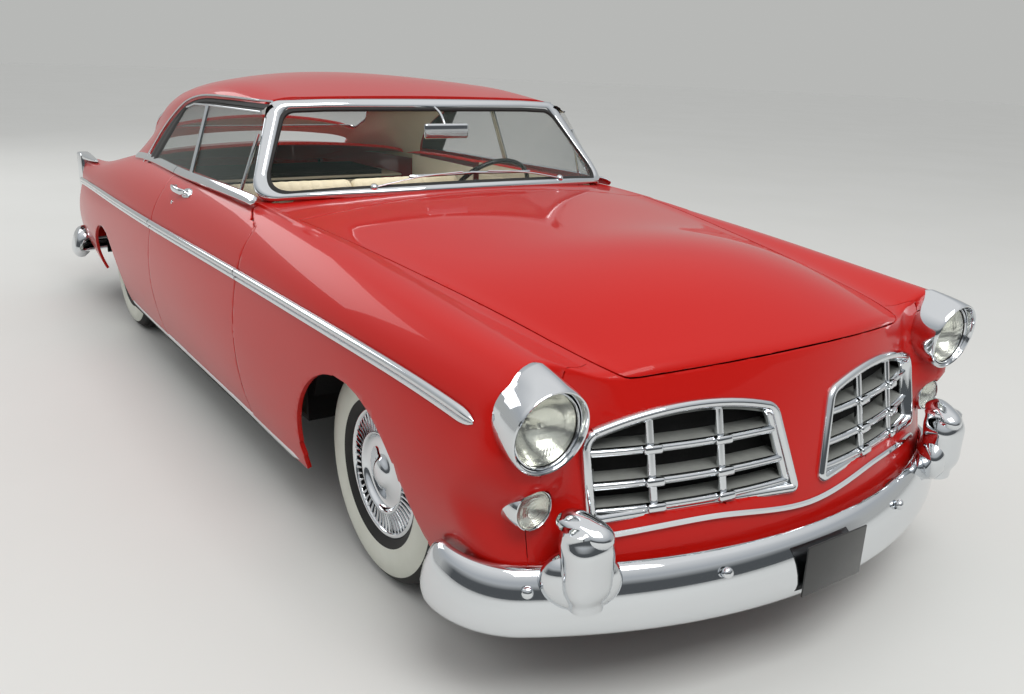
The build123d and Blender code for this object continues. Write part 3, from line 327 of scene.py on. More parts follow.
def outOf(loop):
    # outward directions round a closed 2D line
    tangent = unit(np.roll(loop, -1, 0) - np.roll(loop, 1, 0))
    out = np.stack([tangent[:, 1], -tangent[:, 0]], 1)
    return -out if np.sum(out * (loop - loop.mean(0))) < 0 else out


def loopDistance(p, loop):
    # signed distance to a closed 2D line, negative inside
    best, inside = np.full(len(p), 1e9), np.zeros(len(p), bool)
    for a, b in zip(loop, np.roll(loop, -1, 0)):
        ab, ap = b - a, p - a
        t = np.clip((ap @ ab) / max(ab @ ab, 1e-9), 0, 1)
        best = np.minimum(best, np.linalg.norm(ap - t[:, None] * ab, axis=1))
        if a[1] != b[1]:
            spans = (a[1] > p[:, 1]) != (b[1] > p[:, 1])
            inside ^= spans & (p[:, 0] < (b[0] - a[0]) * (p[:, 1] - a[1]) / (b[1] - a[1]) + a[0])
    return np.where(inside, -best, best)


def runOf(line):
    # distance along a line at each of its points
    return np.concatenate([[0], np.cumsum(np.linalg.norm(np.diff(line, axis=0), axis=1))])


def pointsAt(spots, run, line):
    return np.stack([np.interp(spots, run, line[:, k]) for k in range(2)], 1)


# Body skin
# columns: y, low x, low z, wide x, spear x, spear z, shoulder x, shoulder z, crown x, crown z, valley x, valley z,
# centre z
bodyRows = [
    (-2700, 830, 345, 900, 905, 735, 872, 825, 776, 872, 592, 820, 800),
    (-2560, 848, 340, 920, 920, 762, 886, 854, 790, 926, 604, 852, 905),
    (-2400, 866, 335, 942, 932, 785, 896, 874, 802, 946, 622, 882, 1008),
    (-1730, 922, 262, 974, 974, 826, 925, 930, 818, 996, 706, 974, 1076),
    (-850, 938, 250, 1002, 982, 822, 915, 975, 842, 1046, 780, 1046, 1108),
    (345, 938, 252, 1002, 984, 806, 912, 968, 838, 1046, 740, 1054, 1085),
    (1470, 922, 262, 984, 950, 780, 884, 926, 790, 992, 660, 1018, 1062),
    (2200, 888, 305, 942, 900, 745, 876, 828, 812, 884, 668, 872, 940),
    (2700, 850, 350, 888, 856, 708, 846, 800, 806, 878, 668, 800, 838),
]
skin = {
    "cells": (22, 16, 8, 26), "soften": (26, 58, 60),  # cells from sill to spear, crown, valley and centre
    "wideZ": 520, "stepY": 10, "sideRows": 200, "noseRings": 36, "tailRings": 20, "footZ": 350,
    "noseY": -2632, "noseBowX": 940, "noseBow": 250, "noseLean": 12, "nosePivot": 620,
    "tailY": 2668, "tailBowX": 900, "tailBow": 112, "tailRound": 55,
    "thick": 16, "doorThick": 10, "gap": 5, "seam": 0.9, "edge": 2.2,
    "podCore": 122, "podReach": 232,
}
headlamp = {"x": 824, "y": -2520, "z": 795, "lens": 88}
parking = {"x": 825, "y": -2490, "z": 576, "lens": 48.5, "shell": 60}


def naturalCubic(table):
    # a smooth curve through a table's rows; the first column is what it is asked at
    xs, ys = np.array([r[0] for r in table], float), np.array([r[1:] for r in table], float)
    n, h = len(xs), np.diff(xs)
    a, b = np.eye(n), np.zeros((n, ys.shape[1]))
    for i in range(1, n - 1):
        a[i, i - 1:i + 2] = h[i - 1], 2 * (h[i - 1] + h[i]), h[i]
        b[i] = 6 * ((ys[i + 1] - ys[i]) / h[i] - (ys[i] - ys[i - 1]) / h[i - 1])
    bend = np.linalg.solve(a, b)

    def at(x):
        i = int(np.clip(np.searchsorted(xs, x) - 1, 0, n - 2))
        t, u = x - xs[i], xs[i + 1] - x
        return (bend[i] * u ** 3 + bend[i + 1] * t ** 3) / (6 * h[i]) \
            + (ys[i] / h[i] - bend[i] * h[i] / 6) * u + (ys[i + 1] / h[i] - bend[i + 1] * h[i] / 6) * t
    return at


def arc(a, b, c, steps):
    # through three points
    a, b, c = (np.array(p, float) for p in (a, b, c))
    centre = np.linalg.solve(2 * np.array([b - a, c - a]), np.array([b @ b - a @ a, c @ c - a @ a]))
    radius = np.linalg.norm(a - centre)
    angles = np.unwrap([np.arctan2(*(p - centre)[::-1]) for p in (a, b, c)])
    turn = np.linspace(angles[0], angles[2], steps + 1)
    return centre + radius * np.stack([np.cos(turn), np.sin(turn)], 1)


def resampled(line, corners, reaches, cells):
    # rounds the line's corners, then spreads an even number of points over each stretch
    s, out = runOf(line), line.copy()
    for i, r in zip(corners, reaches):
        a, b = pointsAt([s[i] - r, s[i] + r], s, line)
        m = (s > s[i] - r) & (s < s[i] + r)
        t = ((s[m] - s[i] + r) / (2 * r))[:, None]
        out[m] = (1 - t) ** 2 * a + 2 * t * (1 - t) * line[i] + t ** 2 * b
    marks = [0, *corners, len(line) - 1]
    spots = [np.linspace(s[a], s[b], n + 1)[:-1] for a, b, n in zip(marks, marks[1:], cells)]
    return pointsAt(np.concatenate([*spots, [s[-1]]]), s, out)


def bodySection(y):
    lowX, lowZ, wideX, spearX, spearZ, shX, shZ, crX, crZ, vaX, vaZ, midZ = bodyAt(y)
    line = np.concatenate([arc((lowX, lowZ), (wideX, skin["wideZ"]), (spearX, spearZ), 60),
                           arc((spearX, spearZ), (shX, shZ), (crX, crZ), 40)[1:],
                           np.linspace((crX, crZ), (vaX, vaZ), 30)[1:],
                           arc((vaX, vaZ), (0, midZ), (-vaX, vaZ), 120)[1:61]])
    return resampled(line, [60, 100, 129], skin["soften"], skin["cells"])


def bowDepth(x, half, bow):
    r = (half ** 2 + bow ** 2) / (2 * bow)
    return r - np.sqrt(np.maximum(r ** 2 - np.square(x), 1))


# rear edge of each headlamp bezel: angle from straight up, turning outward; radius; depth
bezelEdge = np.array([
    (-45, 120, -2458), (-25, 130, -2455), (-12, 145, -2452), (8, 129, -2450), (27, 111, -2457), (68, 104, -2472),
    (98, 104, -2480), (125, 108, -2492), (150, 110, -2512), (180, 109, -2520), (210, 110, -2505), (240, 113, -2478),
    (270, 116, -2466), (315, 120, -2458)], float)


def bezelRear(turn):
    # radius and depth of the bezel's rear edge at an angle in radians, outward positive
    degrees = (np.degrees(turn) + 45) % 360 - 45
    return [np.interp(degrees, bezelEdge[:, 0], bezelEdge[:, k]) for k in (1, 2)]


def leanOf(x, z):
    # the flat of the nose: bowed across, leaning forward at the top
    lean = math.radians(skin["noseLean"])
    return skin["noseY"] + bowDepth(x, skin["noseBowX"], skin["noseBow"]) / math.cos(lean) \
        + (z - skin["nosePivot"]) * math.tan(lean)


def noseAt(x, z):
    # the fender swells forward from the flat to carry each headlamp
    rise = np.asarray(z, float) - headlamp["z"]
    across = np.abs(x) - headlamp["x"]
    away = np.hypot(across, np.where(rise < 0, rise * 0.82, rise))
    k = np.clip((skin["podReach"] - away) / (skin["podReach"] - skin["podCore"]), 0, 1)
    k = k * k * (3 - 2 * k)
    turned = np.arctan2(across, rise)
    pod = sum(bezelRear(turned + d)[1] for d in (-0.3, -0.15, 0, 0.15, 0.3)) / 5 + 5
    flat = leanOf(x, z)
    return flat + k * (pod - flat)


def tailAt(x, z=None):
    # the same at every height
    return skin["tailY"] - bowDepth(x, skin["tailBowX"], skin["tailBow"])


bodyAt = naturalCubic(bodyRows)
denseY = np.arange(-2720, 2721, float(skin["stepY"]))
dense = np.array([bodySection(y) for y in denseY])  # y, section, (x, z)


def sideX(y, z):
    # how far out the body's side is at a height
    low = bodySection(y)[:skin["cells"][0] + skin["cells"][1] + 1]
    return float(np.interp(z, low[:, 1], low[:, 0]))


def topZ(x, y):
    section = bodySection(y)[skin["cells"][0] + skin["cells"][1] // 2:][::-1]
    return float(np.interp(abs(x), section[:, 0], section[:, 1]))


def quadCurve(a, b, c, steps=6):
    t = np.linspace(0, 1, steps + 1)[:, None]
    return (1 - t) ** 2 * a + 2 * t * (1 - t) * b + t ** 2 * c


def bodyLine(u):
    # one line of the skin: up the nose, round its edge, back along the body and down the tail
    x, z = dense[:, u, 0], dense[:, u, 1]

    def at(y):
        return np.array([np.interp(y, denseY, x), y, np.interp(y, denseY, z)])

    def cross(f):
        i = int(np.argmax(f > 0))
        return denseY[i - 1] + f[i - 1] / (f[i - 1] - f[i]) * skin["stepY"]

    def endRings(edge, keep, count, surface, order=1):
        # from the middle of an end out to its edge, or back with order -1, short of the edge by keep
        run = np.array([edge[0], edge[2] - skin["footZ"]])
        last = 1 - keep / max(np.linalg.norm(run), 200)
        flat = [(run[0] * k, skin["footZ"] + run[1] * k) for k in np.linspace(*(0, last)[::order], count)]
        return [(px, surface(px, pz), pz) for px, pz in flat]

    front = cross(denseY - noseAt(x, z))
    rear = denseY[-1] - (cross((tailAt(x) - denseY)[::-1]) - denseY[0])
    edgeF, edgeR = at(front), at(rear)
    side = np.clip((edgeF[0] - 640) / 160, 0, 1) * np.clip((880 - edgeF[2]) / 60, 0, 1)
    reach = 22 + 48 * side
    nose = endRings(edgeF, reach, skin["noseRings"], noseAt)
    bendF = quadCurve(np.array(nose[-1]), edgeF, at(front + reach))[1:]
    middle = [at(y) for y in np.linspace(front + reach, rear - skin["tailRound"], skin["sideRows"])[1:]]
    tail = endRings(edgeR, skin["tailRound"], skin["tailRings"], tailAt, -1)
    bendR = quadCurve(at(rear - skin["tailRound"]), edgeR, np.array(tail[0]))[1:-1]
    return np.array([*nose, *bendF, *middle, *bendR, *tail])


def sheetOf(rows):
    sheet = bmesh.new()
    verts = [sheet.verts.new(p) for p in rows.reshape(-1, 3)]
    for face in gridFaces(*rows.shape[:2]):
        sheet.faces.new([verts[i] for i in face])
    return sheet


half = np.array([bodyLine(u) for u in range(dense.shape[1])])
body = sheetOf(np.concatenate([half, half[-2::-1] * [-1, 1, 1]]))
bmesh.ops.remove_doubles(body, verts=body.verts, dist=0.4)
bmesh.ops.dissolve_degenerate(body, edges=body.edges, dist=0.05)
bmesh.ops.recalc_face_normals(body, faces=body.faces)


def score(bm, g):
    # cuts the faces along the line where g is zero; g takes an array of points
    verts = list(bm.verts)
    for i, v in enumerate(verts):
        v.index = i
    value = g(np.array([v.co for v in verts]))
    edges = [e for e in bm.edges if value[e.verts[0].index] * value[e.verts[1].index] < 0]
    if not edges:
        return
    a, b = (np.array([e.verts[k].co for e in edges]) for k in (0, 1))
    low, high = np.zeros(len(edges)), np.ones(len(edges))
    sign = np.sign(np.array([value[e.verts[0].index] for e in edges]))
    for _ in range(14):  # halves the step each time
        mid = (low + high) / 2
        same = np.sign(g(a + (b - a) * mid[:, None])) == sign
        low, high = np.where(same, mid, low), np.where(same, high, mid)
    near, percents = {}, {}  # dictionaries keep their order, so every run cuts alike
    for e, t in zip(edges, (low + high) / 2):
        if t < 0.04 or t > 0.96:
            near[e.verts[0] if t < 0.04 else e.verts[1]] = True
        else:
            percents[e] = float(t)
    made = bmesh.ops.bisect_edges(bm, edges=list(percents), cuts=1, edge_percents=percents)
    cut = {v: True for v in made["geom_split"] if isinstance(v, bmesh.types.BMVert)} | near
    bmesh.ops.connect_verts(bm, verts=[v for v in cut if v.is_valid], check_degenerate=True)


def roundedMax(a, b, r):
    # the larger of two distances, with a rounded corner
    u, v = a + r, b + r
    return np.sqrt(np.maximum(u, 0) ** 2 + np.maximum(v, 0) ** 2) + np.minimum(np.maximum(u, v), 0) - r


# Panel outlines: each gives a distance, negative inside the panel, and a large one where the panel can't be
hoodLines = {"frontHalf": 612, "frontY": -2420, "rearHalf": 812, "rearY": -1016, "cornerMm": 70,
             "lipZ": 888, "lipDrop": 26, "lipFrontY": -2595, "lowZ": 780}
doorLines = {"front": -850, "rear": 345, "low": 274, "high": 1100, "ventY": -700, "inner": 789.5}
cowlLines = {"half": 818, "front": -1030, "rear": -600}
cabinLines = {"half": 792, "front": -950, "bow": 222, "rear": 1180, "low": 900}
trunkLines = {"half": 610, "front": 1650, "corner": 90, "low": 562, "lowCorner": 40}
noseEnd = -2300


def hoodG(p):
    x, y, z = np.abs(p[:, 0]), p[:, 1], p[:, 2]
    t = (y - hoodLines["frontY"]) / (hoodLines["rearY"] - hoodLines["frontY"])
    side = x - (hoodLines["frontHalf"] + (hoodLines["rearHalf"] - hoodLines["frontHalf"]) * t)
    lip = hoodLines["lipZ"] - hoodLines["lipDrop"] * np.square(p[:, 0] / 600)
    front = np.where(y < noseEnd, (lip - z) * 1.1, -400.0)
    front = np.maximum(front, -(y - hoodLines["lipFrontY"]))
    g = np.maximum(roundedMax(np.maximum(front, -400), side, hoodLines["cornerMm"]), y - hoodLines["rearY"])
    return np.where(z < hoodLines["lowZ"], np.maximum(g, hoodLines["lowZ"] - z), g)


def doorG(p):
    front, rear, low, high, ventY, inner = doorLines.values()
    loop = np.array([(front, low), (front, 985), (ventY, 1031), (ventY, high), (rear, high), (rear, low)], float)
    return np.maximum(loopDistance(p[:, 1:3], loop), inner - np.abs(p[:, 0]))


def cabinG(p):
    # open to the cabin
    half, front, bow, rear, low = cabinLines.values()
    ahead = front + bowDepth(p[:, 0], half, bow) - p[:, 1]
    g = np.maximum(np.maximum(ahead, p[:, 1] - rear), np.abs(p[:, 0]) - half)
    return np.where(p[:, 2] < low, 300.0, g)


def trunkG(p):
    half, front, corner, low, lowCorner = trunkLines.values()
    return roundedMax(roundedMax(np.abs(p[:, 0]) - half, front - p[:, 1], corner), low - p[:, 2], lowCorner)


def archG(y, z, halfLength, halfHeight):
    def g(p):
        up = np.maximum(p[:, 2] - z, 0) / halfHeight
        d = (np.sqrt(((p[:, 1] - y) / halfLength) ** 2 + up ** 2) - 1) * halfHeight
        return np.maximum(d, 500 - np.abs(p[:, 0]))
    return g


def lampG(lamp, radius=None):
    # a round hole; with no radius, the bezel's own outline
    def g(p):
        across, up = np.abs(p[:, 0]) - lamp["x"], p[:, 2] - lamp["z"]
        d = np.hypot(across, up) - (radius or bezelRear(np.arctan2(across, up))[0] - 5)
        return np.where(p[:, 1] > lamp["y"] + 70 + 0.27 * up, 400.0, d)
    return g


def grilleLine(grow):
    # one grille opening, made larger all round
    top = arc((110, 759), (376, 800), (686, 738), 18)
    loop = roundedLoop([(40, 504), *map(tuple, top), (684, 514)], [24, 52] + [0] * (len(top) - 2) + [58, 34], 7)
    return loop + grow * outOf(loop)


grilleHole = grilleLine(-14)


def grilleG(p):
    flat = np.stack([np.abs(p[:, 0]), p[:, 2]], 1)
    return np.where(p[:, 1] > noseEnd, 400.0, loopDistance(flat, grilleHole))


def seamG(p):
    # the joint between nose and fender: down through the lamps, and from the headlamp to the hood's corner
    x, z = np.abs(p[:, 0]), p[:, 2]
    over = (p[:, 1] + 2408 + 0.4 * (x - 616)) * 0.93
    return np.where(p[:, 1] > noseEnd, 400.0, np.where(z < headlamp["z"], x - 825, np.maximum(x - 825, over)))


def cowlSide(p):
    # the joint between the cowl and each fender
    off = (p[:, 1] < cowlLines["front"]) | (p[:, 1] > cowlLines["rear"])
    return np.abs(p[:, 0]) - cowlLines["half"] + 1000.0 * off


panels = {"hood": hoodG, "door": doorG, "trunk": trunkG}
holes = {"cabin": cabinG, "frontArch": archG(-1737, 312, 386, 385), "rearArch": archG(1470, 300, 356, 306),
         "head": lampG(headlamp), "park": lampG(parking, parking["shell"] - 3), "grille": grilleG}
halfGap, halfSeam = skin["gap"] / 2, skin["seam"]
cuts = [(line, shift) for line in panels.values() for shift in (halfGap, -halfGap)]
cuts += [(line, 0) for line in holes.values()]
cuts += [(line, shift) for line in (cowlSide, seamG) for shift in (halfSeam, -halfSeam)]
for line, shift in cuts:
    score(body, lambda p, line=line, shift=shift: line(p) + shift)

body.faces.ensure_lookup_table()
centres = np.array([f.calc_center_median() for f in body.faces])
g = {name: line(centres) for name, line in {**panels, **holes, "seam": seamG}.items()}
x, y, z = np.abs(centres[:, 0]), centres[:, 1], centres[:, 2]
isHood, isDoor, isTrunk = (g[name] < 0 for name in panels)
inCowl = (y > cowlLines["front"]) & ~isHood & ~isDoor
isRear = (y > 300) & ~isDoor & ~isTrunk
isCowl = inCowl & (y < 300) & (x < cowlLines["half"])
isNose = (y < noseEnd) & (g["seam"] < -halfSeam) & ~isHood
isFender = (y < 300) & ~isHood & ~isDoor & ~isCowl & ~isNose
gone = (~isDoor) & (y > doorLines["front"] + 2) & (y < doorLines["rear"] + 2) & (z < 300)
gone |= (y < noseEnd) & (np.abs(g["seam"]) < halfSeam) & ~isHood
gone |= inCowl & (np.abs(x - cowlLines["half"]) < 0.8) & (y < cowlLines["rear"])
for name in panels:
    gone |= np.abs(g[name]) < halfGap
for name in holes:
    gone |= g[name] < 0
print("body skin scored:", len(centres), "faces")


def cutOut(sheet, chosen, name, mats):
    # a mesh of some of the faces of a scored sheet
    lookup, points, faces = {}, [], []
    for i in np.flatnonzero(chosen):
        for v in sheet.faces[int(i)].verts:
            if v not in lookup:
                lookup[v] = len(points)
                points.append(v.co)
        faces.append([lookup[v] for v in sheet.faces[int(i)].verts])
    return addMesh(name, np.array(points), faces, mats, None)


def skinPiece(name, chosen, bodyName, replaces, thick=skin["thick"]):
    made = cutOut(body, chosen & ~gone, name, "enamel")
    faces = made.data.polygons
    outward = sum(p.normal.z * p.area for p in faces if p.center.z > 0.85) \
        + sum(math.copysign(p.area, p.normal.x * p.center.x) for p in faces if p.center.z < 0.8)
    if outward < 0:
        made.data.flip_normals()
    shelled(made, thick, skin["edge"])
    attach(made, bodyName)
    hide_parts(*replaces)


left = centres[:, 0] > 0
skinPiece("hoodPanel", isHood, "hood", ["hood"])
skinPiece("trunkPanel", isTrunk, "trunk_lid", ["trunk_lid"])
skinPiece("fenderLeft", isFender & left, "body", ["fender_left"])
skinPiece("fenderRight", isFender & ~left, "body", ["fender_right"])
skinPiece("nosePanel", isNose, "body", ["nose_panel"])
skinPiece("cowlPanel", isCowl, "body", ["cowl"])
skinPiece("rearBody", isRear, "body", ["quarter_left", "quarter_right", "rear_deck"])
skinPiece("doorSkinLeft", isDoor & left, "door_left", [], skin["doorThick"])
skinPiece("doorSkinRight", isDoor & ~left, "door_right", [], skin["doorThick"])
print("body panels made")

# Roof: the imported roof's stations, lower toward the rear window as the photo shows it
# columns: y, base x, rail x, rail z, crown x, crown z, top z
roofRows = [
    (-500, 852, 704, 1396, 650, 1414, 1430), (0, 853, 738, 1390, 650, 1456, 1490),
    (550, 851, 734, 1340, 628, 1428, 1497), (1000, 838, 712, 1242, 596, 1368, 1452),
    (1300, 806, 684, 1150, 586, 1288, 1372), (1580, 742, 640, 1074, 545, 1140, 1188),
    (1690, 704, 618, 1020, 528, 1048, 1064)]
roofForm = {"baseZ": 985, "rows": 130, "cells": (16, 7, 22), "soften": (24, 60), "thick": 22, "rearThick": 5}
roofAt = naturalCubic(roofRows)
shield = {"lowZ": 1052, "topZ": 1418, "baseHalf": 852, "topHalf": 690, "baseCornerY": -690, "baseCentreY": -1026,
          "topCornerY": -462, "topCentreY": -524, "thick": 5}


def roofSection(y, inset=0.0):
    baseX, railX, railZ, crX, crZ, topZed = roofAt(y)
    a, rail = (baseX - inset, roofForm["baseZ"]), (railX - inset, railZ - inset * 0.5)
    crown, top = (crX - inset * 0.5, crZ - inset), (0, topZed - inset)
    mid = (crown[0] + (rail[0] - crown[0]) * 0.62, rail[1] + (crown[1] - rail[1]) * 0.62)
    line = np.concatenate([np.linspace(a, rail, 60), arc(rail, mid, crown, 30)[1:],
                           arc(crown, top, (-crown[0], crown[1]), 120)[1:61]])
    return resampled(line, [59, 89], roofForm["soften"], roofForm["cells"])


def roofMesh(inset=0.0):
    stations = np.linspace(roofRows[0][0], roofRows[-1][0], roofForm["rows"])
    half = np.array([[(x, y, z) for x, z in roofSection(y, inset)] for y in stations])
    return sheetOf(np.concatenate([half, half[:, -2::-1] * [-1, 1, 1]], 1))


def shieldY(x, z):
    t = (np.asarray(z, float) - shield["lowZ"]) / (shield["topZ"] - shield["lowZ"])
    half, corner, centre = (shield["base" + k] + (shield["top" + k] - shield["base" + k]) * t
                            for k in ("Half", "CornerY", "CentreY"))
    return centre + bowDepth(x, half, corner - centre)


def onSurface(x, z, forward, depthAt):
    # points on a surface that faces forward, moved out along its normal, and the normals
    x, z = np.asarray(x, float), np.asarray(z, float)
    y = depthAt(x, z)
    n = unit(np.stack([depthAt(x + 1, z) - y, -np.ones_like(y), depthAt(x, z + 1) - y], -1))
    return np.stack([x, y, z], -1) + n * np.asarray(forward, float)[..., None], n


def onShield(x, z, forward):
    return onSurface(x, z, forward, shieldY)[0]


sideEdge = smoothPath([(-583, 1398), (-116, 1392), (231, 1379), (472, 1341), (654, 1277), (825, 1190), (950, 1085),
                       (1012, 1000)], 8)
sideLoop = np.concatenate([[(-900, 960), (-900, 1398)], sideEdge, [(1020, 960)]])
backLoop = roundedLoop([(-560, 1180), (560, 1180), (640, 1400), (622, 1556), (-622, 1556), (-640, 1400)],
                       [40, 40, 120, 46, 46, 120], 8)


def sideG(p):
    return np.where(np.abs(p[:, 0]) < 600, 300.0, loopDistance(p[:, 1:3], sideLoop))


def backG(p, grow=0.0):
    return np.where((p[:, 1] < 1100) | (p[:, 2] < 1070), 300.0, loopDistance(p[:, :2], backLoop) - grow)


def headerG(p):
    return shieldY(p[:, 0], p[:, 2]) + 26 - p[:, 1]


def roofPiece(sheet, keep, name, mats, thick, hem=0):
    # the faces of a scored roof that keep is true for; the last material is the inner side's
    sheet.faces.ensure_lookup_table()
    made = cutOut(sheet, keep(np.array([f.calc_center_median() for f in sheet.faces])), name, mats)
    if sum(p.normal.z * p.area for p in made.data.polygons) < 0:
        made.data.flip_normals()
    shelled(made, thick, hem, len(mats) - 1)
    return made


roofSkin = roofMesh()
for line in (sideG, backG, headerG):
    score(roofSkin, line)
roofPanel = roofPiece(roofSkin, lambda p: (sideG(p) > 0) & (backG(p) > 0) & (headerG(p) < 0)
                      & ((p[:, 1] < 1634) | (np.abs(p[:, 0]) > 617)), "roofPanel", ["enamel", "vinyl"],
                      roofForm["thick"], 2.0)
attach(roofPanel, "body")
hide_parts("roof")
rearPane = roofMesh(6)
score(rearPane, lambda p: backG(p, 10))
backGlass = roofPiece(rearPane, lambda p: backG(p, 10) < 0, "backGlass", ["glass"], roofForm["rearThick"])
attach(backGlass, "body")


def roofSideX(y, z):
    section = roofSection(y)[:roofForm["cells"][0] + roofForm["cells"][1] + 2]
    return float(np.interp(z, section[:, 1], section[:, 0]))


# Windshield surround: a bright band on the frame, black rubber inside it, then the curved glass
surround = {"low": 20, "side": 44, "top": 30, "rubber": 11}
opening = {"halfLow": 862, "halfHigh": 700, "cornerLow": 1056, "cornerHigh": 1408, "sill": 1100, "sillBow": 44,
           "header": 1412, "headerBow": 8}
halfLow, halfHigh, cornerLow, cornerHigh, sillZ, sillBow, headerZ, headerBow = opening.values()


def shieldLoop(low, side, top):
    # the windshield's outline in x and z; low, side and top are the insets there
    sill = [(x, sillZ + low - sillBow * (x / halfLow) ** 2) for x in np.linspace(-560, 560, 9)]
    header = [(x, headerZ - top + headerBow * (1 - (x / 690) ** 2)) for x in np.linspace(480, -480, 7)]
    corners = [(-halfLow + side, cornerLow + low), *sill, (halfLow - side, cornerLow + low),
               (halfHigh - side, cornerHigh - top), *header, (-halfHigh + side, cornerHigh - top)]
    radii = [46] + [0] * len(sill) + [46, 64] + [0] * len(header) + [64]
    return roundedLoop(corners, radii, 9)


outer = shieldLoop(0, 0, 0)
inner = shieldLoop(surround["low"], surround["side"], surround["top"])
lip = shieldLoop(*(surround[k] + surround["rubber"] for k in ("low", "side", "top")))
bright, gasket = Heap(), Heap()
for heap, a, b, line in ((bright, outer, inner, [(0, -38), (0, 2), (0.1, 9), (0.35, 13), (0.65, 13), (0.9, 9), (1, 3),
                                                 (1, -10)]),
                         (gasket, inner, lip, [(-0.1, -6), (0, 4), (0.4, 6), (0.8, 4), (1, -4)])):
    # line: share of the way from a to b, height over the surface
    rows = [onShield(*(a + (b - a) * k).T, np.full(len(a), float(d))) for k, d in line]
    heap.add(np.stack(rows, 1), gridFaces(len(a), len(line), True, True))
bright.make("windshieldTrim", "chrome", "body", ["windshield_frame"], slot="bright_trim")
u, v = np.meshgrid(np.linspace(-1, 1, 49), np.linspace(0, 1, 17))
zLow = sillZ + surround["low"] - sillBow * (u * 815 / halfLow) ** 2
zTop = headerZ - surround["top"] + 4
z = zLow + (zTop - zLow) * v
halfAt = halfLow - surround["side"] + (halfHigh - halfLow) * (z - cornerLow) / (cornerHigh - cornerLow)
glassPoints = onShield(u * halfAt, z, np.full(z.shape, -4.0)).reshape(-1, 3)
windshieldGlass = addMesh("windshieldGlass", glassPoints, gridFaces(*z.shape), "glass", None)
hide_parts("fixed_glass")
shelled(windshieldGlass, shield["thick"], smooth=40)
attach(windshieldGlass, "body")

# Side windows: flat panes that lean in, each with a bright edge
# columns: y, base x, top x
paneRows = np.array([(-700, 842, 728), (210, 842, 730), (1100, 812, 700)], float)
paneForm = {"baseZ": 1062, "height": 340, "thick": 5}


def paneX(y, z):
    base, top = (np.interp(y, paneRows[:, 0], paneRows[:, k]) for k in (1, 2))
    return base + (top - base) * (np.asarray(z, float) - paneForm["baseZ"]) / paneForm["height"]


def pane(corners, radii):
    loop = roundedLoop(corners, radii, 8)
    front = np.column_stack([paneX(loop[:, 0], loop[:, 1]), loop])
    n = len(loop)
    faces = [tuple(range(n)), tuple(range(2 * n - 1, n - 1, -1))]
    faces += [(i, (i + 1) % n, n + (i + 1) % n, n + i) for i in range(n)]
    return np.concatenate([front, front - [paneForm["thick"], 0, 0]]), faces


def evenly(line, count):
    line = np.asarray(line, float)
    run = runOf(line)
    return pointsAt(np.linspace(0, run[-1], count), run, line)


doorPane = [(-684, 1056), (-512, 1366), (132, 1351), (112, 1056)]
quarterPane = [(120, 1056), (140, 1351), (340, 1344), (468, 1318), (560, 1240), (660, 1150), (770, 1056)]
sides = ((1, "Left"), (-1, "Right"))
for sign, where in sides:
    door = "door_" + where.lower()
    points, faces = pane(doorPane, [6, 20, 6, 6])
    addMesh("doorGlass" + where, points * [sign, 1, 1], faces, "glass", door, ["door_glass_" + where.lower()])
    points, faces = pane(quarterPane, [6, 6, 60, 60, 40, 20, 6])
    addMesh("quarterGlass" + where, points * [sign, 1, 1], faces, "glass", "body", [])
slim = ovalProfile(18, 12, 12, 4)
for sign, where in sides:
    def bar(points, profile=slim):
        path = np.array([(float(paneX(y, z)) + 3, y, z) for y, z in points])
        return sweep(path * [sign, 1, 1], np.array((0.93, 0, 0.36)) * [sign, 1, 1], profile)
    onDoor, onBody = Heap(), Heap()
    onDoor.add(*bar([(107, 1050), (128, 1352)]))
    onDoor.add(*bar([(-523, 1050), (-541, 1290)], ovalProfile(15, 12, 12, 4)))
    onBody.add(*bar([(127, 1050), (146, 1352)]))
    onBody.add(*bar([(-508, 1369), (-190, 1362), (150, 1354), (340, 1347), (462, 1324)], ovalProfile(9, 9, 10, 3)))
    onDoor.make("doorGlassBars" + where, "chrome", "door_" + where.lower(), slot="bright_trim")
    onBody.make("quarterGlassBars" + where, "chrome", "body", slot="bright_trim")
    # rubber between the glass and the edge of the roof
    glassEdge = evenly([(-498, 1366), *quarterPane[1:6], (770, 1050)], 60)
    roofEdge = evenly(np.concatenate([[(-505, 1397)], sideEdge[sideEdge[:, 0] > -490]]), 60)
    rows = []
    for k, proud in ((0, -3), (0.12, 5), (0.3, 7), (0.42, 3), (0.54, 8), (0.7, 9), (0.82, 4), (0.94, 6), (1, 1)):
        yz = glassEdge + (roofEdge - glassEdge) * k
        x = [float(paneX(y, z)) * (1 - k) + (roofSideX(y, min(z, 1398)) - 7) * k + proud for y, z in yz]
        rows.append(np.column_stack([x, yz]))
    gasket.add(np.stack(rows, 1) * [sign, 1, 1], gridFaces(60, len(rows)))
gasket.make("windowSeals", "rubber", "body")

# Drip rails along the roof edge, and the bright edge of the rear window
rails = Heap()
dripLine = smoothPath([(-470, 1406), (-116, 1404), (236, 1391), (482, 1353), (668, 1288), (840, 1200), (966, 1094),
                       (1032, 1004)], 10)
path = np.array([(roofSideX(y, z) + 4, y, z) for y, z in dripLine])
rails.both(*sweep(path, (1, 0, 0.2), ovalProfile(10, 13, 12, 3)))


def roofTopZ(x, y):
    section = roofSection(y)[::-1]
    return float(np.interp(abs(x), section[:, 0], section[:, 1]))


path = np.array([(x, y, roofTopZ(x, y)) for x, y in backLoop])
rails.add(*sweep(path, (0, 0.35, 1), ovalProfile(26, 13, 12, 3), closed=True))
rails.make("roofTrim", "chrome", "body", slot="bright_trim")
print("roof and glass made")

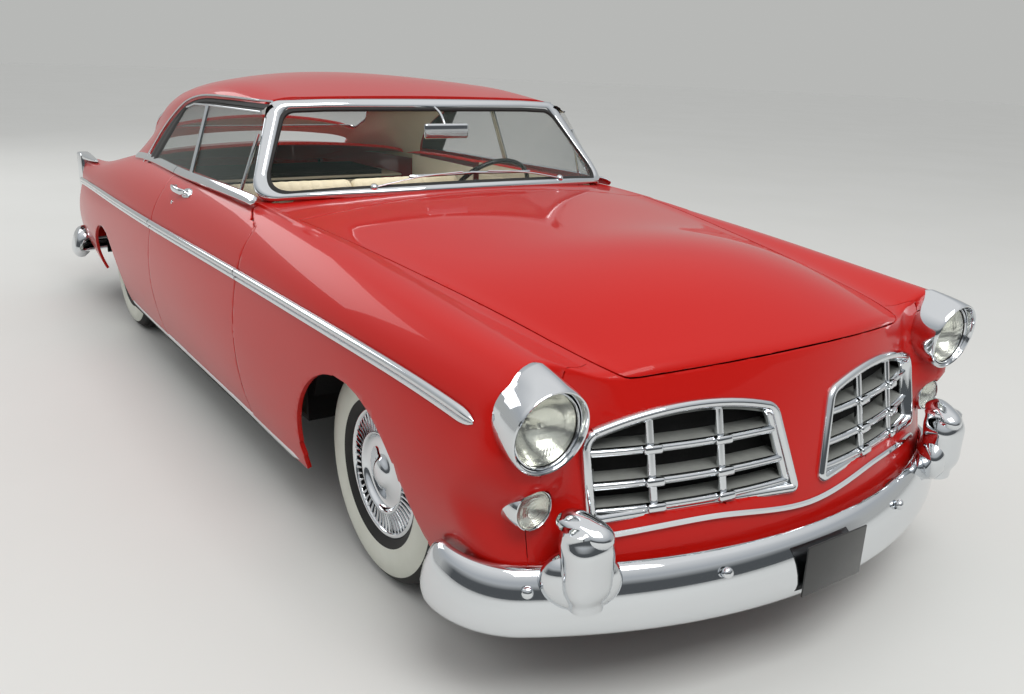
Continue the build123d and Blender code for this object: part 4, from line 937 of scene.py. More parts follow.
# Side mouldings on fender, door and quarter, and the belt moulding under the windows
spearForm = {"out": 1, "tip": 62, "tail": 40}
spearLine = np.array([(-21, -2), (-21, 3), (-19, 8), (-14, 9.5), (-9, 8), (-7, 3), (-5, 3), (-3, 9), (3, 14), (10, 15),
                      (17, 11), (21, 4), (21, -2)])
beltForm = {"nose": 34, "tail": 60, "lean": 0.75}
beltLine = np.array([(-20, -6), (-20, 2), (-17, 6), (-6, 8.5), (6, 8.5), (17, 6), (20, 2), (20, -6)])
# each stretch: from y, to y, and the length of its rounded start or end
trims = {"body": {"spear": [(-2384, -853.5, "tip"), (348.5, 2604, "tail")], "belt": (348.5, 1300, "tail")},
         "door": {"spear": [(-846.5, 341.5, None)], "belt": (-742, 341.5, "nose")}}


def alongBody(y0, y1, step, least):
    ys = np.linspace(y0, y1, max(int((y1 - y0) / step), least))
    return ys, np.array([bodyAt(y) for y in ys])


def bullet(path, length, fromEnd):
    # a rounded nose on a moulding: the section grows from nothing along its first stretch
    k = np.clip(np.linalg.norm(path - path[-1 if fromEnd else 0], axis=1) / length, 0, 1)
    return np.maximum(np.sqrt(1 - (1 - k) ** 2), 0.22)


for sign, where in sides:
    for key, rider in (("body", "body"), ("door", "door_" + where.lower())):
        strip = Heap()
        for y0, y1, end in trims[key]["spear"]:
            ys, rows = alongBody(y0, y1, 14, 12)
            path = np.stack([rows[:, 3] + spearForm["out"], ys, rows[:, 4]], 1)
            taper = bullet(path, spearForm[end], end == "tail") if end else None
            strip.add(*sweep(path * [sign, 1, 1], (sign, 0, 0), spearLine * [-sign, 1], scale=taper))
        y0, y1, end = trims[key]["belt"]
        ys, rows = alongBody(y0, y1, 18, 8)
        lift = 3 + 11 * np.clip((200 - ys) / 850, 0, 1)
        path = np.stack([rows[:, 7] + 9 + lift * 0.6, ys, rows[:, 8] + lift], 1)
        taper = bullet(path, beltForm[end], end == "tail")
        strip.add(*sweep(path * [sign, 1, 1], (sign, 0, beltForm["lean"]), beltLine * [-sign, 1], scale=taper))
        strip.make("sideMoulding" + key.capitalize() + where, "chrome", rider, slot="bright_trim")
print("mouldings made")


# Headlamps: a hooded bezel flush with the fender, a black seat ring, a fluted lens and the bowl behind it
def lampPlace(lamp, back=0):
    return lamp["x"], lamp["y"] + back, lamp["z"]


def headBezel(steps=120):
    turn = fullTurn(steps)
    rearR, rearY = bezelRear(turn)
    for _ in range(3):  # round off the table's corners
        rearR, rearY = ((np.roll(v, 1) + 2 * v + np.roll(v, -1)) / 4 for v in (rearR, rearY))
    front = -2549 - 15 * np.cos(turn)
    rows = [(rearR - 9, rearY + 40)]
    for k in (0, 0.03, 0.2, 0.42, 0.64, 0.84, 1):
        curl = 1 - (1 - k) ** 1.25
        rows.append((rearR + (109.5 - rearR) * k + 3 * math.sin(math.pi * k), rearY + (front + 3 - rearY) * curl))
    rows += [(106.5, front), (103, front + 1.5), (100.5, front + 7), (98.5, front * 0.5 - 2522 * 0.5), (97, -2520),
             (97, -2508)]
    ring = [np.stack([headlamp["x"] + r * np.sin(turn), np.broadcast_to(y, np.shape(turn)),
                      headlamp["z"] + r * np.cos(turn)], -1) for r, y in rows]
    return np.stack(ring, 1), gridFaces(steps, len(rows), True)


def headLens(rings=22, steps=144):
    # vertical flutes on the upper part, plain prisms low down
    rr, tt = np.meshgrid(np.linspace(0.5, headlamp["lens"] + 3, rings), fullTurn(steps))
    x, z = rr * np.sin(tt), rr * np.cos(tt)
    dome = 15 * (1 - (rr / 91) ** 2)
    flute = 1.1 * np.abs(np.sin(x * np.pi / 9)) * np.clip((rr - 6) / 20, 0, 1) * np.clip((86 - rr) / 8, 0, 1)
    cross = 0.8 * np.abs(np.sin(z * np.pi / 16)) * (z < 30)
    y = headlamp["y"] - 2 - dome - flute - cross * np.clip((86 - rr) / 8, 0, 1)
    front = np.stack([headlamp["x"] + x, y, headlamp["z"] + z], -1)
    rear = np.stack([headlamp["x"] + x, headlamp["y"] + 1.5 - dome, headlamp["z"] + z], -1)[:, ::-1]
    return np.concatenate([front, rear], 1).reshape(-1, 3), gridFaces(steps, 2 * rings, True)


lampBright, seatRing, lens, bowl = Heap(), Heap(), Heap(), Heap()
toRear = (0, 1, 0)
lampBright.both(*headBezel())
seatRing.both(*lathe([(98, 8), (96, -2), (94, -5), (91, -3), (89, 4), (89, 12)], lampPlace(headlamp), toRear, 72))
lampBright.both(*lathe([(96.5, -2), (95, -7), (92, -8), (90, -4)], lampPlace(headlamp, -2), toRear, 72))
lens.both(*headLens())
for line, steps in (([(4, 74), (20, 71), (40, 62), (60, 47), (76, 28), (88, 4), (93, -1)], 64),
                    ([(0.5, 20), (8, 22), (13, 30), (14, 40), (10, 62)], 24)):
    bowl.both(*lathe(line, lampPlace(headlamp), toRear, steps))

# Parking lamps: a chrome cup, a rim and a lens with rings
cup = [(60, 100), (60, 34), (59, 14), (56, 2), (53.5, -4), (51, -5), (49, -2), (48.5, 8), (48.5, 16)]
lampBright.both(*lathe(cup, lampPlace(parking), toRear, 64))
rings = [(float(r), float(-2 - 7 * (1 - (r / parking["lens"]) ** 2) - 0.9 * abs(math.sin(r * math.pi / 7))))
         for r in np.linspace(0.5, parking["lens"], 40)]
lens.both(*lathe([*rings, (48, 1), (24, -4), (0.5, -6)], lampPlace(parking), toRear, 48))
bowl.both(*lathe([(1, 30), (20, 27), (38, 16), (49, 4)], lampPlace(parking), toRear, 40))
lampBright.make("lampBezels", "chrome", "body", ["lamp_shells"], slot="bright_trim")
seatRing.make("lampSeats", "rubber", "body")
bowl.make("lampBowls", "reflector", "body", slot="bright_trim")
lamps = lens.make("lampLenses", "lampGlass", None, slot="lens_glass")
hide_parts("front_lenses")
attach(lamps, "body")
print("lamps made")

# Split grille: rim tube, three shelf louvres with bright noses, upright bars and the knuckles that clasp them
grille = {"louvres": [538, 603, 686], "bars": [296, 502], "shelf": 58, "bar": 24, "back": 76}
louvreNose = [(4, -10), (-2, -9), (-6, -4), (-7, 2), (-5, 7), (0, 10), (8, 10.5)]
louvreShelf = [(8, 10), (grille["shelf"], 15), (grille["shelf"], 11), (10, -2), (4, -10)]
rimProfile = np.array([(-14, -16), (-14, 2), (-11, 9), (-5, 13), (3, 13.5), (9, 10), (12, 4), (14, -4), (19, -8),
                       (21, -14), (21, -22)])


def onNose(x, z, forward):
    x, z = np.broadcast_arrays(np.asarray(x, float), np.asarray(z, float))
    return onSurface(x, z, np.full(x.shape, float(forward)), leanOf)


def crossings(loop, value, axis):
    # first and last place along the other axis where a closed line crosses a level
    spots = []
    for a, b in zip(loop, np.roll(loop, -1, 0)):
        if (a[axis] - value) * (b[axis] - value) < 0:
            t = (value - a[axis]) / (b[axis] - a[axis])
            spots.append(a[1 - axis] + (b[1 - axis] - a[1 - axis]) * t)
    return min(spots), max(spots)


rim, shelves, dark = Heap(), Heap(), Heap()
path, n = onNose(*grilleLine(-13).T, 2)
rim.both(*sweep(path, n, rimProfile, closed=True))
insideLoop = grilleLine(-22)
for level in grille["louvres"]:
    x0, x1 = crossings(insideLoop, level, 1)
    base, n = onNose(np.linspace(x0 - 4, x1 + 4, 60), level, -8)
    behind = unit(-n * [1, 1, 0])
    for heap, line in ((rim, louvreNose), (shelves, louvreShelf)):
        heap.both(np.stack([base + behind * d + [0, 0, h] for d, h in line], 1), gridFaces(60, len(line)))
for x in grille["bars"]:
    z0, z1 = crossings(insideLoop, x, 0)
    path, n = onNose(x, np.linspace(z0 - 4, z1 + 4, 24), -16)
    rim.both(*sweep(path, n, ovalProfile(grille["bar"], 22, 14, 2.6)))
    for level in grille["louvres"]:
        spot, n = onNose([x], [level + 1.0], -3)
        points, faces = roundBox((54, 28, 23), 7)
        side, forward = unit(np.cross((0, 0, 1), n[0])), n[0]
        axes = (side, forward, np.cross(forward, side))
        rim.both(spot[0] + points[:, 0:1] * axes[0] + points[:, 1:2] * axes[1] + points[:, 2:3] * axes[2], faces)
xs, zs = np.meshgrid(np.linspace(20, 705, 30), np.linspace(490, 806, 12))
dark.both(onNose(xs, zs, -grille["back"])[0], gridFaces(12, 30))
collar = np.stack([onNose(*grilleHole.T, d)[0] for d in (0, -36, -grille["back"])], 1)
dark.both(collar, gridFaces(len(grilleHole), 3, True))
rim.make("grilleBars", "chrome", "body", ["grille"], slot="bright_trim")
shelves.make("grilleShelves", "silverPaint", "body", slot="bright_trim")
dark.make("grilleWell", "undercoat", "body", slot="underbody")

# Bright moulding on the nose below the grille
strip = Heap()
line = smoothPath([(-688, 470), (-616, 482), (-343, 492), (0, 462), (343, 492), (616, 482), (688, 470)], 10)
path, n = onNose(*line.T, 1)
strip.add(*sweep(path, n, np.array([(-9, -6), (-9, 4), (-4, 9), (4, 9), (9, 4), (9, -6)])))
strip.make("noseMoulding", "chrome", "body", slot="bright_trim")
print("grille made")

# Bumpers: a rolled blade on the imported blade's own line, with round-headed bolts
middleZ = 334
blades = {
    "front": {"half": 866, "corner": 2540, "side": 1004, "end": 2225, "face": 2772, "sign": -1, "heap": Heap()},
    "rear": {"half": 862, "corner": 2632, "side": 992, "end": 2330, "face": 2780, "sign": 1, "heap": Heap()},
}
# the blade's section: height from the middle, distance inward
bladeLine = [(-80, 62), (-90, 52), (-92, 38), (-88, 23), (-80, 11), (-68, 3.5), (-52, 0.3), (-36, 0), (-10, 3), (18, 9),
             (44, 17), (66, 27), (82, 38), (90, 48), (92, 60), (86, 64), (78, 52), (60, 38), (20, 24), (-50, 20),
             (-78, 34)]


def bladePath(spec):
    # plan line from the left end to the right end, in (x, y)
    rise = spec["face"] - spec["corner"]
    bow = (spec["half"] ** 2 + rise ** 2) / (2 * rise)
    lean = spec["half"] / bow
    radius = (spec["side"] - spec["half"]) / (1 - lean)
    centre = np.array([spec["side"] - radius, spec["corner"] - radius * math.sqrt(1 - lean ** 2)])
    right = [(spec["side"], y) for y in np.linspace(spec["end"], centre[1], 7)[:-1]]
    right += [centre + radius * np.array([math.cos(a), math.sin(a)]) for a in np.linspace(0, math.acos(lean), 15)]
    main = [(bow * math.sin(a), spec["face"] - bow + bow * math.cos(a))
            for a in np.linspace(math.asin(lean), 0, 30)[1:]]
    half = np.array([*right, *main])
    return np.concatenate([half, half[-2::-1] * [-1, 1]]) * [1, spec["sign"]]


for end, spec in blades.items():
    line = bladePath(spec)
    tangent = unit(np.gradient(line, axis=0))
    out = np.stack([tangent[:, 1], -tangent[:, 0]], 1)
    out *= np.sign(np.sum(out * line, 1))[:, None]
    run = runOf(line)
    k = np.clip(np.minimum(run, run[-1] - run) / 70, 0, 1)  # the ends close in over 70 mm
    closing = np.sqrt(1 - (1 - k) ** 2)
    rows = [np.column_stack([line - out * (d + 26 * (1 - closing))[:, None], middleZ + h * (0.55 + 0.45 * closing)])
            for h, d in bladeLine]
    spec["heap"].add(*capped(np.stack(rows, 1)))
    for x, y, z in ((371, -2737, 385), (866, -2540, 385)) if end == "front" else ():
        spot = np.argmin(np.hypot(line[:, 0] - x, line[:, 1] - y))
        n = np.array([*out[spot], 0.25])
        place = (line[spot][0], line[spot][1], z) - unit(n) * 8
        spec["heap"].both(*lathe([(15, -6), (15, 3), (13, 6.5), (8, 9), (0.5, 10)], place, n, 28))

# Front guards: a rounded upright
# columns: z, centre x, centre y, half width, half depth
guardRows = [(336, 744, -2604, 4, 5), (340, 744, -2606, 24, 24), (358, 745, -2610, 46, 40), (392, 746, -2613, 60, 48),
             (440, 747, -2614, 66, 52), (490, 748, -2612, 68, 54), (528, 750, -2606, 66, 54), (554, 752, -2598, 58, 50),
             (572, 754, -2590, 38, 34), (578, 755, -2586, 8, 8)]
guardAt = naturalCubic(guardRows)
guard = blades["front"]["heap"]
rows = []
for z in [336, 338, 342, 348, 356, *np.linspace(364, 540, 16), 550, 560, 568, 574, 578]:
    cx, cy, a, b = guardAt(z)
    c, s = (np.sign(v) * np.abs(v) ** 0.8 for v in (np.cos(fullTurn(40)), np.sin(fullTurn(40))))
    rows.append(np.column_stack([cx + max(a, 2) * c, cy + max(b, 2) * s, np.full(40, z)]))
guard.both(np.array(rows), gridFaces(len(rows), 40, False, True))
# a low swelling of the blade round the guard's foot
foot = {"x": 746, "y": -2590, "z": 414, "wide": 92, "deep": 58, "high": 84, "skew": 0.42}
around, tilt = np.meshgrid(fullTurn(36), np.linspace(-math.pi / 2, math.pi / 2, 17))
swell = np.stack([foot["x"] + foot["wide"] * np.cos(tilt) * np.cos(around),
                  foot["y"] - foot["deep"] * np.sin(tilt) + foot["skew"] * foot["wide"] * np.cos(tilt) * np.cos(around),
                  foot["z"] + foot["high"] * np.cos(tilt) * np.sin(around)], -1)
guard.both(swell, gridFaces(17, 36, False, True))
# and a bullet-ended cap that runs back over the guard, wider than it is high
capFront, capBack = np.array((736.0, -2636, 545)), np.array((772.0, -2540, 572))
capForm = {"middleX": 750, "wide": 1.16, "high": 0.8}
reach = float(np.linalg.norm(capBack - capFront))
capLine = [(0.5, -34), (12, -31), (24, -22), (33, -8), (38, 10), (40, 34), (40, reach * 0.5), (37, reach * 0.75),
           (30, reach * 0.92), (18, reach + 2), (0.5, reach + 6)]
points, faces = lathe(smoothPath(capLine, 4), capFront, capBack - capFront, 36)
axisZ = capFront[2] + (capBack[2] - capFront[2]) * (points[:, 1] - capFront[1]) / (capBack[1] - capFront[1])
guard.both(np.column_stack([capForm["middleX"] + (points[:, 0] - capForm["middleX"]) * capForm["wide"], points[:, 1],
                            axisZ + (points[:, 2] - axisZ) * capForm["high"]]), faces)
for end, spec in blades.items():
    spec["heap"].make(end + "Bumper", "chrome", "body", [end + "_bumper"], slot="bright_trim")
arms = Heap()
for y0, y1, z in ((-2640, -2500, 362), (2500, 2690, 340)):
    arms.both(*roundBox((70, y1 - y0, 62), 5, at=(465, (y0 + y1) / 2, z)))
arms.make("bumperArms", "chassis", "body", slot="dark_steel")
points, faces = roundBox((251, 5, 151), 2.4, at=(0, -2776.5, middleZ))
addMesh("blankPlate", points, faces, "blackPlate", "body", ["plate"])
print("bumpers made")

# Tail lamps: chrome housings that top the fins, with red lenses
tower = {"x": 826, "lensY": 2704, "lensZ": (636, 716), "shoulder": (-36, -35, -30, -20, 0, 20, 30, 35, 36),
         "inset": (16, 7, 2.5, 0.6, 0, 0.6, 2.5, 7, 16)}
housing, red = Heap(), Heap()
loop = roundedLoop([(2548, 570), (2650, 562), (2694, 580), (2706, 640), (2708, 760), (2714, 850), (2712, 884),
                    (2690, 893), (2620, 892), (2548, 884)], [6, 30, 30, 60, 60, 24, 14, 16, 40, 6], 6)
housing.both(*capped([np.column_stack([np.full(len(loop), tower["x"] + w), loop - outOf(loop) * i])
                      for w, i in zip(tower["shoulder"], tower["inset"])]))
# the housing runs forward as a low blade along the top of the fin
ridge = smoothPath([(2225, 876), (2330, 874), (2450, 872), (2560, 872), (2640, 870)], 6)
bladeTop = np.array([(tower["x"], y, z) for y, z in ridge])
grow = np.clip((bladeTop[:, 1] - 2218) / 340, 0.02, 1) ** 0.6
housing.both(*sweep(bladeTop, (0, 0, 1), ovalProfile(70, 38, 20, 3), scale=grow))
for z in tower["lensZ"]:
    place = (tower["x"], tower["lensY"], z)
    housing.both(*lathe([(34, -6), (34, 4), (31, 8), (28, 7), (27, 0)], place, toRear, 40))
    red.both(*lathe([(27.5, 2), (26, 8), (20, 13), (12, 16), (0.5, 17)], place, toRear, 32))
housing.make("finLampHousings", "chrome", "body", ["tail_lamps"], slot="bright_trim")
red.make("finLampLenses", "redLens", "body", slot="red_lens")
print("tail lamps made")

# Wheels and tyres: white wall, ribbed tread, bright cover with radial slots
wheel = {"z": 366, "front": (-1730, 1529), "rear": (1470, 1514), "whiteFrom": 236, "whiteTo": 326, "cutDepth": 5.5}
# rows: (radius, outward), from bead to bead over the tread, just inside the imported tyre
tyreLine = smoothPath([(206, 70), (214, 82.5), (228, 92), (255, 102.5), (284, 105), (312, 99.5), (330, 91.5), (343, 82),
                       (350, 75)], 5)
treadLine = [(353.5, 70), (357, 60), (357.5, 58), (349, 57), (349, 51), (359.8, 50), (363.6, 30), (363.8, 28),
             (354, 27), (354, 21), (364.8, 20), (366, 3), (366, 0)]
halfTyre = np.concatenate([tyreLine, treadLine])
tyreProfile = np.concatenate([halfTyre, halfTyre[-2::-1] * [1, -1]])
dish = [(0.5, 101), (14, 100), (28, 97), (40, 91), (48, 84), (54, 79), (62, 75), (80, 70), (98, 68), (110, 70),
        (117, 76), (122, 84), (127, 88), (131, 86), (133, 78), (133, 62)]
coverRing = [(192, 62), (192, 74), (194, 79), (198, 83), (204, 84), (209, 81), (213, 74), (212, 60)]
slots = {"count": 54, "inner": 131, "outer": 193, "fin": 7.6, "heights": (84, 80, 78.5, 78.5, 79),
         "section": [(-1, -10), (-1, -2), (-0.6, 0), (0.6, 0), (1, -2), (1, -10)]}


def tyreAt(place, sign, steps=120):
    points, faces = lathe(tyreProfile, place, (sign, 0, 0), steps)
    points = points.reshape(steps, len(tyreProfile), 3)
    # cuts across the shoulders: every third step is pulled in
    for j, (r, out) in enumerate(tyreProfile):
        if 353 < r < 359 and abs(out) > 55:
            pull = np.where(np.arange(steps) % 3 == 0, wheel["cutDepth"], 0)[:, None]
            points[:, j] -= unit((points[:, j] - place) * [0, 1, 1]) * pull
    middle = (tyreProfile[:-1, 0] + tyreProfile[1:, 0]) / 2
    white = (wheel["whiteFrom"] < middle) & (middle < wheel["whiteTo"]) & (tyreProfile[:-1, 1] > 0)
    heap = Heap()
    heap.add(points, faces)
    heap.marks = [int(w) for w in white] * steps
    return heap


def coverAt(place, sign):
    # bright cover: outer ring, slotted band over a black ring, raised lip, dish and plain centre dome
    bright, black = Heap(), Heap()
    outward = np.array([sign, 0, 0])
    bright.add(*lathe(smoothPath(dish, 3), place, outward, 96))
    bright.add(*lathe(smoothPath(coverRing, 3), place, outward, 96))
    black.add(*lathe([(130, 66), (194, 66)], place, outward, 48))
    black.add(*lathe([(207, 60), (207, -70), (196, -78), (60, -40), (60, 20)], place, outward, 48), mark=1)
    # each fin is a bowed blade from the lip to the ring
    rs = np.linspace(slots["inner"] - 1, slots["outer"] + 1, len(slots["heights"]))
    for a in 2 * math.pi * np.arange(slots["count"]) / slots["count"]:
        radial, across = np.array([0, math.sin(a), math.cos(a)]), np.array([0, math.cos(a), -math.sin(a)])
        points = []
        for r, h in zip(rs, slots["heights"]):
            w = slots["fin"] / 2 * (0.62 + 0.55 * (r - 131) / 62)
            points.append([place + radial * r + across * u * w + outward * (h + d) for u, d in slots["section"]])
        bright.add(np.array(points), gridFaces(len(rs), len(slots["section"])))
    return bright, black


for end in ("front", "rear"):
    for sign, where in sides:
        rider = f"wheel_{end}_{where.lower()}"
        place = np.array((sign * wheel[end][1] / 2, wheel[end][0], wheel["z"]))
        title = end.capitalize() + where
        tyreAt(place, sign).make("tyre" + title, ["rubber", "whiteRubber"], rider, ["tyre" + rider[5:]],
                                 slot="tyre_rubber")
        bright, black = coverAt(place, sign)
        bright.make("wheelCover" + title, "chrome", rider, [rider], slot="wheel_metal")
        black.make("wheelDish" + title, ["undercoat", "chassis"], rider, slot="dark_steel")
print("wheels made")

# Doors: trimmed inner side behind the outer skin
card = {"innerX": 793.0, "frontY": -846, "rearY": 341, "tuck": 34, "glassX": 836}
cardLoop = roundedLoop([(-846, 276), (-846, 978), (-697, 1028), (-697, 1046), (341, 1050), (341, 276)],
                       [10, 10, 10, 6, 6, 10], 4)
handle = {"y": 8, "z": 992, "half": 62, "high": 19}


def onDoorSide(y, z, proud):
    return sideX(y, z) + proud, y, z


for sign, where in sides:
    heap, knobs, mirror = Heap(), Heap(), [sign, 1, 1]
    n = len(cardLoop)
    inner = np.column_stack([np.full(n, card["innerX"]), cardLoop])
    inner[:, 1] = np.minimum(inner[:, 1], card["rearY"] - card["tuck"])
    outerX = [sideX(float(np.clip(y, card["frontY"], card["rearY"])), min(z, 1000)) - 14 for y, z in cardLoop]
    outerEdge = np.column_stack([np.where(cardLoop[:, 1] > 1000, card["glassX"], outerX), cardLoop])
    heap.add(np.concatenate([inner, outerEdge]) * mirror, [(i, (i + 1) % n, n + (i + 1) % n, n + i) for i in range(n)])
    heap.add(inner * mirror, [tuple(range(n))], 1)
    # padded upper panel and arm rest
    for box in (((26, 1080, 210), 12, 4, (786, -262, 880)), ((64, 520, 60), 24, 5, (772, -150, 760))):
        points, faces = roundBox(*box)
        heap.add(points * mirror, faces, 1)
    heap.make("doorCard" + where, ["enamel", "vinyl"], "door_" + where.lower(), ["door_" + where.lower()],
              slot="body_paint")
    # inner handle, outer grip with its shield, button and lock
    points, faces = roundBox((22, 150, 14), 6, 4, (768, -40, 840))
    knobs.add(points * mirror, faces)
    grip = smoothPath([(sideX(y, 990) + proud, y + along, z) for y, proud, along, z in (
        (30, -2, -6, 990), (40, 22, -2, 995), (100, 31, 2, 999), (165, 22, 3, 996), (180, -2, 4, 991))], 8)
    knobs.add(*sweep(grip * mirror, (sign, 0, 0), ovalProfile(30, 15, 14, 2.4)))
    rows = [[onDoorSide(handle["y"] + handle["half"] * grow * math.cos(a),
                        handle["z"] + handle["high"] * grow * math.sin(a), proud) for a in fullTurn(36)]
            for grow, proud in ((1, -3), (1, 3), (0.93, 6), (0.7, 7.5), (0.3, 8), (0.02, 8))]
    knobs.add(np.array(rows) * mirror, gridFaces(len(rows), 36, False, True))
    button = np.array((sideX(0, 990) + 4, 2, 990)) * mirror
    knobs.add(*lathe([(13, 0), (13, 9), (11, 13), (0.5, 14)], button, (sign, 0, 0.3), 24))
    lock = np.array(onDoorSide(132, 936, -2)) * mirror
    knobs.add(*lathe([(9, 0), (9, 4), (7, 5.5), (0.5, 5.6)], lock, (sign, 0, 0.15), 20))
    knobs.make("doorHandles" + where, "chrome", "door_" + where.lower(), slot="bright_trim")
print("doors made")

# Outside fittings: mirror inside the glass, wipers, antenna base
fittings, blackBits = Heap(), Heap()
forward = (0, -0.6, 0.8)
for sign in (1, -1):
    pivot, tip, a, b = (onShield(x, z, out) for x, z, out in (
        (sign * 442, 1106, 14), (sign * 60, 1150, 16), (sign * 286, 1138, 8), (-sign * 20, 1146, 8)))
    fittings.add(*lathe([(15, -14), (15, 2), (12, 8), (6, 11), (0.5, 12)], pivot, forward, 24))
    arm = smoothPath([pivot, (pivot + tip) / 2 + [0, -6, 10], tip], 8)
    fittings.add(*sweep(arm, forward, ovalProfile(7, 5, 8)))
    along = np.linspace(a, b, 16)
    for heap, out, wide, high in ((fittings, 9, 8, 9), (blackBits, 3, 4, 8)):
        wipe = onShield(along[:, 0], along[:, 2], np.full(16, float(out)))
        heap.add(*sweep(wipe, forward, ovalProfile(wide, high, 8)))
fittings.add(*roundBox((212, 22, 62), 10, 5, (0, -664, 1302)))
stalk = smoothPath([(0, -655, 1320), (0, -610, 1370), (0, -540, 1398)], 8)
fittings.add(*sweep(stalk, (0, -1, 0), ovalProfile(12, 12, 12)))
fittings.add(*lathe([(24, -6), (24, 3), (16, 9), (9, 13), (7, 26), (4, 34), (0.5, 36)],
                    (-770, -1130, topZ(770, -1130) + 2), (0, 0, 1), 28))
fittings.make("wipersAndMirror", "chrome", "body", slot="bright_trim")
blackBits.make("wiperBlades", "rubber", "body")
print("fittings made")

# Seats: pleated leather pads with a rolled edge, each a closed form
padForm = {"pitch": 58, "roll": 34, "crown": 9, "groove": 6.5, "welt": 3.5}
edgeSteps = np.array([0, 0.4, 2, 5, 10, 18])  # extra stations at each end of a pad


def pad(name, profile, radii, x0, x1, node, facing=(-0.4, 0.9)):
    # profile rows are (y, z) of the pad's side view; pleats run where the profile faces up or forward
    roll, pitch = padForm["roll"], padForm["pitch"]
    loop = roundedLoop(profile, radii, 9)
    steps = [np.linspace(0, 1, max(int(np.linalg.norm(b - a) / 16), 1), endpoint=False)
             for a, b in zip(loop, np.roll(loop, -1, 0))]
    loop = np.concatenate([a + (b - a) * t[:, None] for a, b, t in zip(loop, np.roll(loop, -1, 0), steps)])
    out = outOf(loop)
    face = np.clip(out @ unit(np.array(facing, float)) * 2.2 - 0.7, 0, 1)
    width = x1 - x0
    xs = np.linspace(x0, x1, int(width / pitch) * 10 + 1)
    rows = []
    for x in np.unique(np.concatenate([xs, x0 + edgeSteps, x1 - edgeSteps])):
        near = min(x - x0, x1 - x)
        k = np.clip(near / roll, 0, 1)
        shrink = roll * (1 - math.sqrt(1 - (1 - k) ** 2))
        swell = padForm["crown"] * (1 - ((x - (x0 + x1) / 2) / (width / 2)) ** 2) * face
        inner = np.clip((near - roll * 1.6) / 20, 0, 1)
        phase = (x - x0 - roll * 1.6) / pitch
        pleat = -padForm["groove"] * (1 - abs(math.sin(math.pi * phase)) ** 0.45) * face * inner
        welt = padForm["welt"] * math.exp(-((near - roll * 1.15) / 4.5) ** 2) * face
        d = -shrink * 0.75 + swell + pleat + welt
        rows.append(np.column_stack([np.full(len(loop), x), loop + out * d[:, None]]))
    points, faces = capped(rows)
    made = addMesh(name, points, faces, "leather", "body", [node], smooth=50)


frontCushion = [(-388, 318), (-392, 500), (-352, 545), (-120, 538), (92, 506), (96, 318)]
frontBack = [(128, 440), (166, 640), (240, 955), (280, 985), (328, 965), (300, 600), (280, 330), (120, 330)]
rearCushion = [(566, 312), (552, 462), (592, 518), (760, 512), (900, 492), (904, 312)]
rearBack = [(900, 520), (960, 640), (1030, 830), (1084, 864), (1122, 850), (1050, 610), (972, 500)]
pad("frontSeatCushion", frontCushion, [20, 60, 60, 60, 40, 20], -632, 632, "front_seat")
for x0, x1, where in ((-632, -4, "Right"), (4, 632, "Left")):
    pad("frontSeatBack" + where, frontBack, [40, 60, 50, 30, 40, 60, 20, 20], x0, x1, "front_seat", (-1, 0.35))
pad("rearSeatCushion", rearCushion, [20, 50, 50, 60, 30, 20], -592, 592, "rear_seat")
pad("rearSeatBack", rearBack, [30, 60, 40, 26, 30, 40, 30], -592, 592, "rear_seat", (-1, 0.4))
frameBits = Heap()
for half, y0, y1, z0, z1 in ((612, -370, 280, 288, 322), (580, 572, 960, 290, 316)):
    frameBits.add(*roundBox((2 * half, y1 - y0, z1 - z0), 8, at=(0, (y0 + y1) / 2, (z0 + z1) / 2)))
frameBits.make("seatFrames", "chassis", "body", slot="dark_steel")
print("seats made")

# Dashboard: painted panel, a bright strip, dials in front of the driver
dash = {"trimY": -716, "markY": -713, "dialZ": 918, "smallZ": 880, "strip": (-718, 886), "tilt": (0, 1, 0.12)}
dashLine = roundedLoop([(-955, 782), (-955, 1006), (-775, 1004), (-712, 944), (-722, 842), (-752, 784)],
                       [4, 10, 40, 26, 20, 8], 7)
panelDash, brightDash, dialFaces = Heap(), Heap(), Heap()
xs = [-736, -733, -727, *np.linspace(-710, 710, 30), 727, 733, 736]
inset = [8, 3.5, 1, *[0] * 30, 1, 3.5, 8]
panelDash.add(*capped([np.column_stack([np.full(len(dashLine), x), dashLine - outOf(dashLine) * i])
                       for x, i in zip(xs, inset)]))
panelDash.make("dashPanel", ["enamel"], "body", ["dashboard"], slot="dash_paint")
strip = [(x, *dash["strip"]) for x in np.linspace(-716, 716, 30)]
brightDash.add(*sweep(strip, (0, 1, 0.1), ovalProfile(26, 12, 12, 4)))
for x, z, r in ((300, dash["dialZ"], 62), (480, dash["dialZ"], 62), (390, dash["smallZ"], 30)):
    rim = [(r + 7, -8), (r + 7, 4), (r + 4, 8), (r, 8), (r - 2, 2)]
    brightDash.add(*lathe(rim, (x, dash["trimY"], z), dash["tilt"], 48))
    dialFaces.add(*lathe([(0.5, 1), (r * 0.5, 1), (r - 2, 1.5)], (x, dash["trimY"], z), dash["tilt"], 40))
    if z == dash["smallZ"]:
        continue
    # marks round the dial, and its needle
    for a in np.radians(np.linspace(-130, 130, 14)):
        mark, f = roundBox((2, 1.2, 9), 0.4, 1)
        c, s = math.cos(a), math.sin(a)
        turned = np.stack([mark[:, 0] * c + mark[:, 2] * s + s * r * 0.8, mark[:, 1],
                           -mark[:, 0] * s + mark[:, 2] * c + c * r * 0.8], 1)
        dialFaces.add(turned + [x, dash["markY"], z], f, 1)
    dialFaces.add(*roundBox((2.4, 1.4, r * 0.8), 0.5, 1, (x, dash["markY"] + 1, z + r * 0.3)), 1)
for x in np.linspace(-90, 90, 9):
    brightDash.add(*roundBox((9, 10, 44), 3, at=(x, dash["markY"], 916)))
